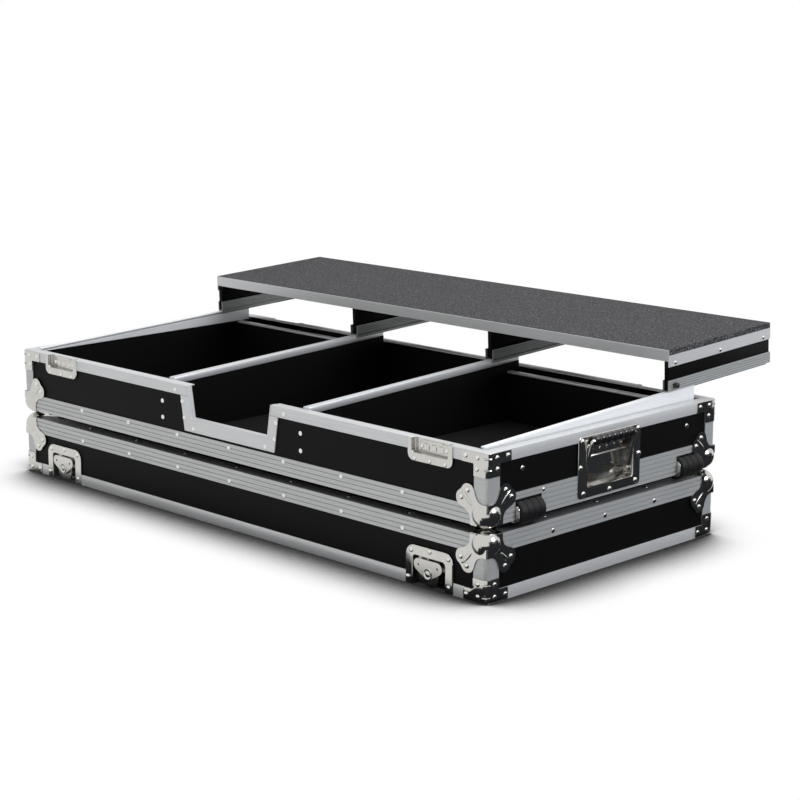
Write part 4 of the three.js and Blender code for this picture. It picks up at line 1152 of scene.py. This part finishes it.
@dataclass
class Extrusions:
    """The ribbed edge extrusions, their rivets, and the laminate panels.

    The rows along the long sides have a rivet at each pitch, and cutout_places are along, up and out of the
    rivets and screws beside the front cut-out.
    """

    pitch: float = 142.0
    base_row: float = 22.8
    lid_row: float = 87.0
    lid_end_row: float = 89.0
    end_places: Numbers = (-133.0, -4.0, 125.0)
    base_end_row: float = 80.6
    base_end_place: float = 208.0
    panel_inset: float = 20.0
    cutout_places: Sequence[Numbers] = ((145, 104.8, 0.1), (125, 86.6, 0.1), (120, 57.6, 0.1),
                                        (96, 40.8, 0.1), (184, 78.6, -2.0), (184, 48.6, -2.0))

    def build(self) -> None:
        """Dresses the frames and boards and places the rows of rivets."""
        for node in ("lid_edge_frame", "base_edge_frame"):
            dress_node(node, RIBBED, 0.25)
        dress_node("mixer_cutout_trim", ALUMINIUM, 0.25)
        for node in ("lid_panel_shell", "base_floor_board", "base_front_board", "base_rear_board",
                     "base_right_end_board", "base_left_end_board"):
            dress_node(node, LAMINATE, 0.0)
        row = [i * self.pitch for i in range(-3, 4)]
        lid, base = (Rivets(f"{ride.body}_extrusion_rivets", ride, 4.4, 1.3) for ride in (LID, BASE))
        for side in (Side.FRONT, Side.REAR):
            base.at(*[side.at(x, self.base_row) for x in row])
            lid.at(*[side.at(x, self.lid_row) for x in row])
        for side in (Side.LEFT, Side.RIGHT):
            lid.at(*[side.at(y, self.lid_end_row) for y in self.end_places])
            base.at(*[side.at(sign * self.base_end_place, self.base_end_row) for sign in SIGNS])
        for sign in SIGNS:
            x, y = (sign * (half - self.panel_inset) for half in (CASE.half_width, CASE.half_depth))
            lid.at(*[shift(along, y, CASE.lid_height) for along in row])
            lid.at(*[shift(x, along, CASE.lid_height) for along in self.end_places])
        for u, v, out in self.cutout_places:
            base.at(*[Side.FRONT.at(sign * u, v, out) for sign in SIGNS])
        lid.make()
        base.make()


# Bays


@dataclass
class Bays:
    """The inside of the base: dividers, tracks, partitions' caps and foam pads.

    A divider's board reaches from board_front to board_rear, and its cap from cap_front to cap_rear. The pads
    of the turntables and the caps of the partitions reach from their near to their far x.
    """

    divider_half: float = 7.25
    cap: float = 12.0
    board_front: float = -277.0
    board_rear: float = 277.0
    board_top: float = 113.2
    cap_front: float = -267.7
    cap_rear: float = 257.0
    partition_near: float = 186.0
    partition_far: float = 575.6
    partition_low: Numbers = (224.4, 109.4)
    partition_high: Numbers = (235.6, 113.4)
    pad_thick: float = 10.0
    pad_near: float = 186.2
    pad_far: float = 575.9
    pad_front: float = -276.5
    pad_rear: float = 224.5
    mixer_half_x: float = 169.8
    mixer_half_y: float = 275.4
    screw_places: Pairs = ((235.0, 235.0), (252.0, 256.0))

    def divider(self) -> tuple[Blank, Blank]:
        """Shapes a divider's board and its aluminium cap, which slopes up to the rear.

        Returns:
            The board and the cap, at the middle of the case.
        """
        lip, stop, under = self.cap_front, self.cap_rear, self.board_top
        top_front, top_rear = CASE.track_height(lip), CASE.track_height(stop)
        upright = stand((0, 1, 0), (0, 0, 1), (1, 0, 0), (-self.divider_half, 0, 0))
        board = Blank().sheet([(self.board_front, CASE.bay_floor, 0), (self.board_rear, CASE.bay_floor, 0),
                               (self.board_rear, under, 0), (stop, under, 0), (stop, top_rear - self.cap, 0),
                               (lip, top_front - self.cap, 0), (self.board_front, under - self.cap, 0)])
        cap = Blank().sheet([(lip, top_front - self.cap, 0), (stop, top_rear - self.cap, 0),
                             (stop, top_rear, 0), (lip, top_front, 0)])
        return (board.push(2 * self.divider_half).move(upright),
                cap.push(2 * self.divider_half).soften(1.2).move(upright))

    def build(self) -> None:
        """Makes the dividers, dresses the tracks, caps the partitions and lays the foam."""
        board, cap = self.divider()
        screw = dome(4.2, 3.0)
        for hand, sign in HANDS:
            spot = shift(sign * CASE.divider_x, 0, 0)
            board.at(spot).finish(f"{hand}_divider_board", LAMINATE, BASE, instead_of=[f"{hand}_divider"])
            cap.at(spot).finish(f"{hand}_divider_cap", ALUMINIUM, BASE)
            # The tracks take the paler aluminium, which is painted light.
            dress_node(f"{hand}_side_track", TRACK_WITH_PAINTED_LIGHT, 0.5)
            screws = screw.at(*[shift(sign * CASE.track_x, y, CASE.track_height(rise) - 0.2)
                                for y, rise in self.screw_places])
            screws.finish(f"{hand}_track_screws", KNOB_PLASTIC, BASE, 50.0)
            (y0, z0), (y1, z1) = self.partition_low, self.partition_high
            low, high = sorted((sign * self.partition_near, sign * self.partition_far))
            edge = Blank().slab((low, y0, z0), (high, y1, z1)).soften(0.8)
            edge.finish(f"{hand}_partition_cap", ALUMINIUM, BASE)
            low, high = sorted((sign * self.pad_near, sign * self.pad_far))
            self.foam(f"{hand}_bay_pad", (low, self.pad_front, CASE.bay_floor), (high, self.pad_rear),
                      [f"{hand}_bay_foam"])
        self.foam("mixer_bay_pad", (-self.mixer_half_x, -self.mixer_half_y, CASE.bay_floor - 1.0),
                  (self.mixer_half_x, self.mixer_half_y), [])

    def foam(self, name: str, low: Numbers, high: Numbers, instead_of: Sequence[str]) -> None:
        """Lays one foam pad with soft edges on a bay's floor.

        Args:
            name: the pad's name.
            low: its lowest corner.
            high: the x and y of the corner across from it.
            instead_of: the CAD nodes that it stands for.
        """
        pad = Blank().slab(low, (*high, low[2] + self.pad_thick)).soften(3.0, 3)
        piece = pad.finish(name, FOAM, BASE, 60.0, instead_of)


# Platform


@dataclass
class Platform:
    """The sliding platform, drawn level from its front foot and tilted onto the tracks.

    An end leg stands on a plate, a channel and, below them, a key that hooks into its side track. A middle
    leg's channel straddles its divider.
    """

    half: float = 588.0
    front: float = 184.0
    depth: float = 292.0
    height: float = 72.5
    deck: float = 9.5
    rail: float = 19.5
    board: float = 9.0
    board_inset: float = 1.8
    wall: float = 1.8
    groove_shares: Numbers = (0.185, 0.395, 0.605, 0.815)
    groove_half: float = 0.8
    clearance: float = 0.3
    guide: float = 4.9
    guide_near: float = 573.7
    guide_far: float = 575.9
    key_far: float = 579.2
    knob_in: float = 16.5
    straddle: float = 9.75
    rivet_down: float = 24.0
    rivet_places: Numbers = (18.0, 144.0, 271.0)

    def ride(self) -> Ride:
        """Gives the platform as a ride for its pieces."""
        tilt = Matrix.Rotation(math.atan(CASE.track_slope), 4, "X")
        foot = shift(0, self.front, CASE.track_height(self.front) + self.clearance)
        return BASE.on("platform").moved(foot @ tilt)

    def board_near(self) -> float:
        """Gives the inner face of an end leg's board, on the +X side."""
        return self.half - self.wall - self.board

    def ribbed_plate(self, outer: float) -> Blank:
        """Shapes a foot rail's outer plate, with its grooves pressed in.

        Args:
            outer: the plate's outer face.

        Returns:
            The plate, on the +X side of a leg.
        """
        grooves = [self.rail * share for share in self.groove_shares]
        blank = Blank().slab((outer - self.wall, 0, 0), (outer, self.depth, self.rail))
        for groove in grooves:
            for edge in (groove - self.groove_half, groove + self.groove_half):
                blank.cut((0, 0, edge), (0, 0, 1), clear=False)
        strips = [face for face in blank.mesh.faces if face.normal.x > 0.9
                  and any(abs(face.calc_center_median().z - g) < self.groove_half / 2 for g in grooves)]
        bmesh.ops.inset_individual(blank.mesh, faces=strips, thickness=0.35, depth=-0.8, use_even_offset=True)
        return blank

    def channel(self) -> Blank:
        """Shapes the inner half of an end leg's rail on the +X side, with the key that holds it down."""
        inner, depth, low = self.board_near(), self.depth, -self.guide
        blank = Blank().slab((inner - 3.5, 0, 0), (self.half - self.wall, depth, 1.5))
        blank.slab((inner - 2.2, 0, 1.5), (inner, depth, self.rail))
        blank.slab((self.guide_near, 0, low), (self.guide_far, depth, 0.0))
        return blank.slab((self.guide_near, 0, low), (self.key_far, depth, low + 2))

    def middle_rail(self) -> Blank:
        """Shapes the channel at the foot of a middle leg, which straddles its divider."""
        reach, depth = self.straddle, self.depth
        plate = self.ribbed_plate(reach).slab((reach - self.wall, 0, -self.guide), (reach, depth, 0))
        return plate.at(Matrix(), Matrix.Diagonal((-1, 1, 1, 1))).slab((-reach, 0, 0), (reach, depth, 1.5))

    def leg_board(self, low_x: float) -> Blank:
        """Shapes a leg's board from the foot of its rail to the underside of the deck."""
        inset, top = self.board_inset, self.height - self.deck
        return Blank().slab((low_x, inset, 1.4), (low_x + self.board, self.depth - inset, top)).soften(0.4)

    def knob(self) -> Blank:
        """Turns the lock knob on its shank."""
        blank = Blank().lathe([(0, 8.0), (3.1, 8.0), (4.3, 7.2), (4.8, 6.0), (4.8, 0.6), (4.3, 0.0),
                               (2.4, 0.0), (2.4, -9.0), (0, -9.0)], 20)
        return blank.move(shift(self.half + 0.3, self.knob_in, self.rail / 2) @ LAY)

    def build(self) -> None:
        """Makes the legs and rails, and dresses the deck and its trim."""
        ride = self.ride()
        dress_node("platform_deck", DECK, 0.0)
        dress_node("platform_edge_trim", ALUMINIUM, 0.5)
        rail, channel, middle_rail = self.ribbed_plate(self.half), self.channel(), self.middle_rail()
        middle_board = self.leg_board(-self.board / 2)
        for hand, sign in reversed(HANDS):
            node, mirror = f"platform_leg_{hand}", Matrix.Diagonal((sign, 1, 1, 1))
            rail.at(mirror).finish(f"{node}_rail", RIBBED, ride, instead_of=[node])
            # The channels take the darker aluminium, which is painted shade under the platform.
            channel.at(mirror).finish(f"{node}_channel", CHANNEL_PAINTED_SHADE, ride)
            board = self.leg_board(self.board_near() if sign > 0 else self.wall - self.half)
            board.finish(f"{node}_board", LAMINATE, ride)
            node, spot = f"platform_leg_middle_{hand}", shift(sign * CASE.divider_x, 0, 0)
            # The middle rails take the same darker aluminium, painted shade under the platform.
            middle_rail.at(spot).finish(f"{node}_rail", CHANNEL_PAINTED_SHADE, ride, instead_of=[node])
            middle_board.at(spot).finish(f"{node}_board", LAMINATE, ride)
        lock = "platform_lock_knob"
        self.knob().finish(f"{lock}_moulding", KNOB_PLASTIC, ride.on(lock), 50.0, [lock])
        rivets = Rivets("platform_rivets", ride, 3.6, 1.8)
        for sign in SIGNS:
            turn = Matrix.Rotation(sign * QUARTER_TURN, 4, "Y")
            rivets.at(*[shift(sign * self.half, y, self.height - self.rivet_down) @ turn
                        for y in self.rivet_places])
        rivets.make()


# Studio


def new_tree(made: bpy.types.Material | bpy.types.World) -> bpy.types.NodeTree:
    """Empties a material's or a world's node tree and gives it."""
    made.use_nodes = True
    made.node_tree.nodes.clear()
    return made.node_tree


@dataclass
class Studio:
    """The camera, the plain floor and the soft lights.

    Places and sizes are in metres, and camera_turn in radians. A flag is a dark card that only reflections
    show, a painted reflection, given by two of its corners.
    """

    lens: float = 90.6
    camera_place: tuple[float, float, float] = (2.6153, -2.56545, 0.9588)
    camera_turn: tuple[float, float, float] = (math.pi / 2 - 0.211, 0.0, 0.787)
    sky: float = 0.64
    # How far from the case the floor's painted shadow reaches, in metres.
    painted_shadow_reach: float = 0.19
    floor_half: float = 30.0
    floor_drop: float = 0.0004
    # The three low cards lie on the floor beside the case so that its metal mirrors dark there: painted
    # shadow in the reflections. The upright card darkens what the metal mirrors to the right: a painted
    # reflection.
    flags: Sequence[tuple] = (
        ("low_right_flag", (0.613, -0.8, 0.001), (1.5, 1.6, 0.004)),
        ("low_front_flag", (-0.3, -0.42, 0.001), (0.61, -0.3, 0.004)),
        ("corner_flag", (0.54, -0.58, 0.002), (0.8, -0.415, 0.005)),
        ("upright_right_flag", (1.5, -0.8, 0.0), (1.51, 1.6, 0.5)))

    def camera(self) -> None:
        """Sets the camera that matches the photograph."""
        data = bpy.data.cameras.new("camera")
        data.lens, data.sensor_width = self.lens, 36.0
        data.clip_start, data.clip_end = 0.05, 100.0
        camera = bpy.data.objects.new("camera", data)
        camera.location, camera.rotation_euler = self.camera_place, self.camera_turn
        bpy.context.scene.collection.objects.link(camera)
        bpy.context.scene.camera = camera

    def background_share(self, tree: bpy.types.NodeTree) -> bpy.types.NodeSocket:
        """Gives 1 where the camera or a mirror looks, so that both see the white background."""
        path = add_node(tree, "LightPath", {})
        total = path.outputs["Is Camera Ray"]
        for name in ("Is Glossy Ray", "Is Transmission Ray"):
            total = add_node(tree, "Math", {0: total, 1: path.outputs[name]}, operation="MAXIMUM").outputs[0]
        return total

    def world(self) -> None:
        """Makes a plain sky that lights the case at a plain level and shows as white."""
        world = bpy.data.worlds.new("studio")
        bpy.context.scene.world = world
        tree = new_tree(world)
        lit = add_node(tree, "Background", {"Color": linear("#FAFBFD"), "Strength": self.sky})
        shown = add_node(tree, "Background", {"Color": linear("#FFFFFF"), "Strength": 1.0})
        mixed = add_node(tree, "MixShader", {0: self.background_share(tree), 1: lit.outputs[0],
                                             2: shown.outputs[0]})
        add_node(tree, "OutputWorld", {"Surface": mixed.outputs[0]})

    def floor(self) -> None:
        """Lays a white floor with a painted shadow, darkened for the camera and for mirrors where ambient
        occlusion finds the case near.
        """
        paper = bpy.data.materials.new("white_studio_paper")
        tree = new_tree(paper)
        plain = add_node(tree, "BsdfDiffuse", {"Color": linear("#E2E2E2")})
        # Painted shadow: for the camera and for mirrors, the floor goes from white to a dark grey where
        # ambient occlusion finds the case near.
        near = add_node(tree, "AmbientOcclusion", {"Distance": self.painted_shadow_reach}, samples=16)
        lit = remap(tree, near.outputs["AO"], (0.5, 0.9), (0.02, 1.0), "SMOOTHSTEP")
        dark = add_node(tree, "BsdfDiffuse", {"Color": linear("#1C1C1C")})
        white = add_node(tree, "Emission", {"Color": linear("#FFFFFF"), "Strength": 1.0})
        seen = add_node(tree, "MixShader", {0: lit, 1: dark.outputs[0], 2: white.outputs[0]})
        both = add_node(tree, "MixShader", {0: self.background_share(tree), 1: plain.outputs[0],
                                            2: seen.outputs[0]})
        add_node(tree, "OutputMaterial", {"Surface": both.outputs[0]})
        blank = Blank()
        bmesh.ops.create_grid(blank.mesh, x_segments=1, y_segments=1, size=self.floor_half)
        blank.move(shift(0, 0, -self.floor_drop)).link("studio_floor", paper)

    def lamp(self, name: str, spot: Numbers, aim: Numbers, size: float, watts: float,
             colour: str) -> bpy.types.Object:
        """Hangs one square soft light.

        Args:
            name: the lamp's name.
            spot: where it hangs, in metres.
            aim: what it points at, in metres.
            size: its side, in metres.
            watts: its power.
            colour: its colour as sRGB hex.

        Returns:
            The lamp.
        """
        data = bpy.data.lights.new(name, "AREA")
        data.shape, data.size, data.energy, data.color = "SQUARE", size, watts, linear(colour)[:3]
        lamp = bpy.data.objects.new(name, data)
        lamp.location = spot
        lamp.rotation_euler = (Vector(aim) - Vector(spot)).to_track_quat("-Z", "Y").to_euler()
        bpy.context.scene.collection.objects.link(lamp)
        return lamp

    def stand_flags(self) -> None:
        """Stands the dark cards that only reflections show, as painted shadow and painted reflection in the
        metal.
        """
        card = bpy.data.materials.new("black_studio_card")
        tree = new_tree(card)
        matt = add_node(tree, "BsdfDiffuse", {"Color": linear("#2C2E31")})
        add_node(tree, "OutputMaterial", {"Surface": matt.outputs[0]})
        for name, low, high in self.flags:
            flag = Blank().slab(low, high).link(name, card)
            flag.visible_camera = flag.visible_diffuse = flag.visible_shadow = False

    def build(self) -> None:
        """Sets up the whole studio."""
        self.camera()
        self.world()
        self.floor()
        self.stand_flags()
        self.lamp("overhead_softbox", (0.3, 0.5, 2.6), (0.1, 0.0, 0.1), 2.0, 30.0, "#FFFFFF")
        self.lamp("right_softbox", (3.0, 0.6, 1.5), (0.3, 0.0, 0.1), 1.2, 41.0, "#F4F7FF")
        fill = self.lamp("front_softbox", (-1.4, -3.0, 1.4), (0.0, -0.3, 0.1), 1.4, 5.0, "#FFEED4")
        fill.visible_glossy = False
        bpy.context.scene.view_settings.view_transform = "Standard"


def lid_rim() -> RimFrame:
    """Gives the lid's rim, which faces the floor."""
    return RimFrame(LID, height=0.0, inward=1, face=20.5, arm=48.0,
                    rivet_places=((17, 10), (42, 10), (17, 30)), room_x=CASE.latch_x, room_half=39.8,
                    room_depth=13.8)


def base_rim() -> RimFrame:
    """Gives the base's rim, which faces up."""
    return RimFrame(BASE, height=CASE.base_height, inward=-1, face=18.9, arm=53.0,
                    rivet_places=((20, 9), (45, 9), (21, 27)), room_x=CASE.keeper_x, room_half=41.8,
                    room_depth=9.8, gap=113.3)


def main() -> None:
    """Builds the case's sub-assemblies and the studio, in order."""
    logging.basicConfig(level=logging.INFO, format="%(name)s: %(message)s")
    for assembly in (Extrusions(), lid_rim(), base_rim(), BallCorner(), ButterflyLatch(), Keeper(),
                     EndHandle(), TravelWheels(), Bays(), Platform(), Studio()):
        assembly.build()
        LOG.info("%s done", type(assembly).__name__)


if __name__ == "__main__":
    main()
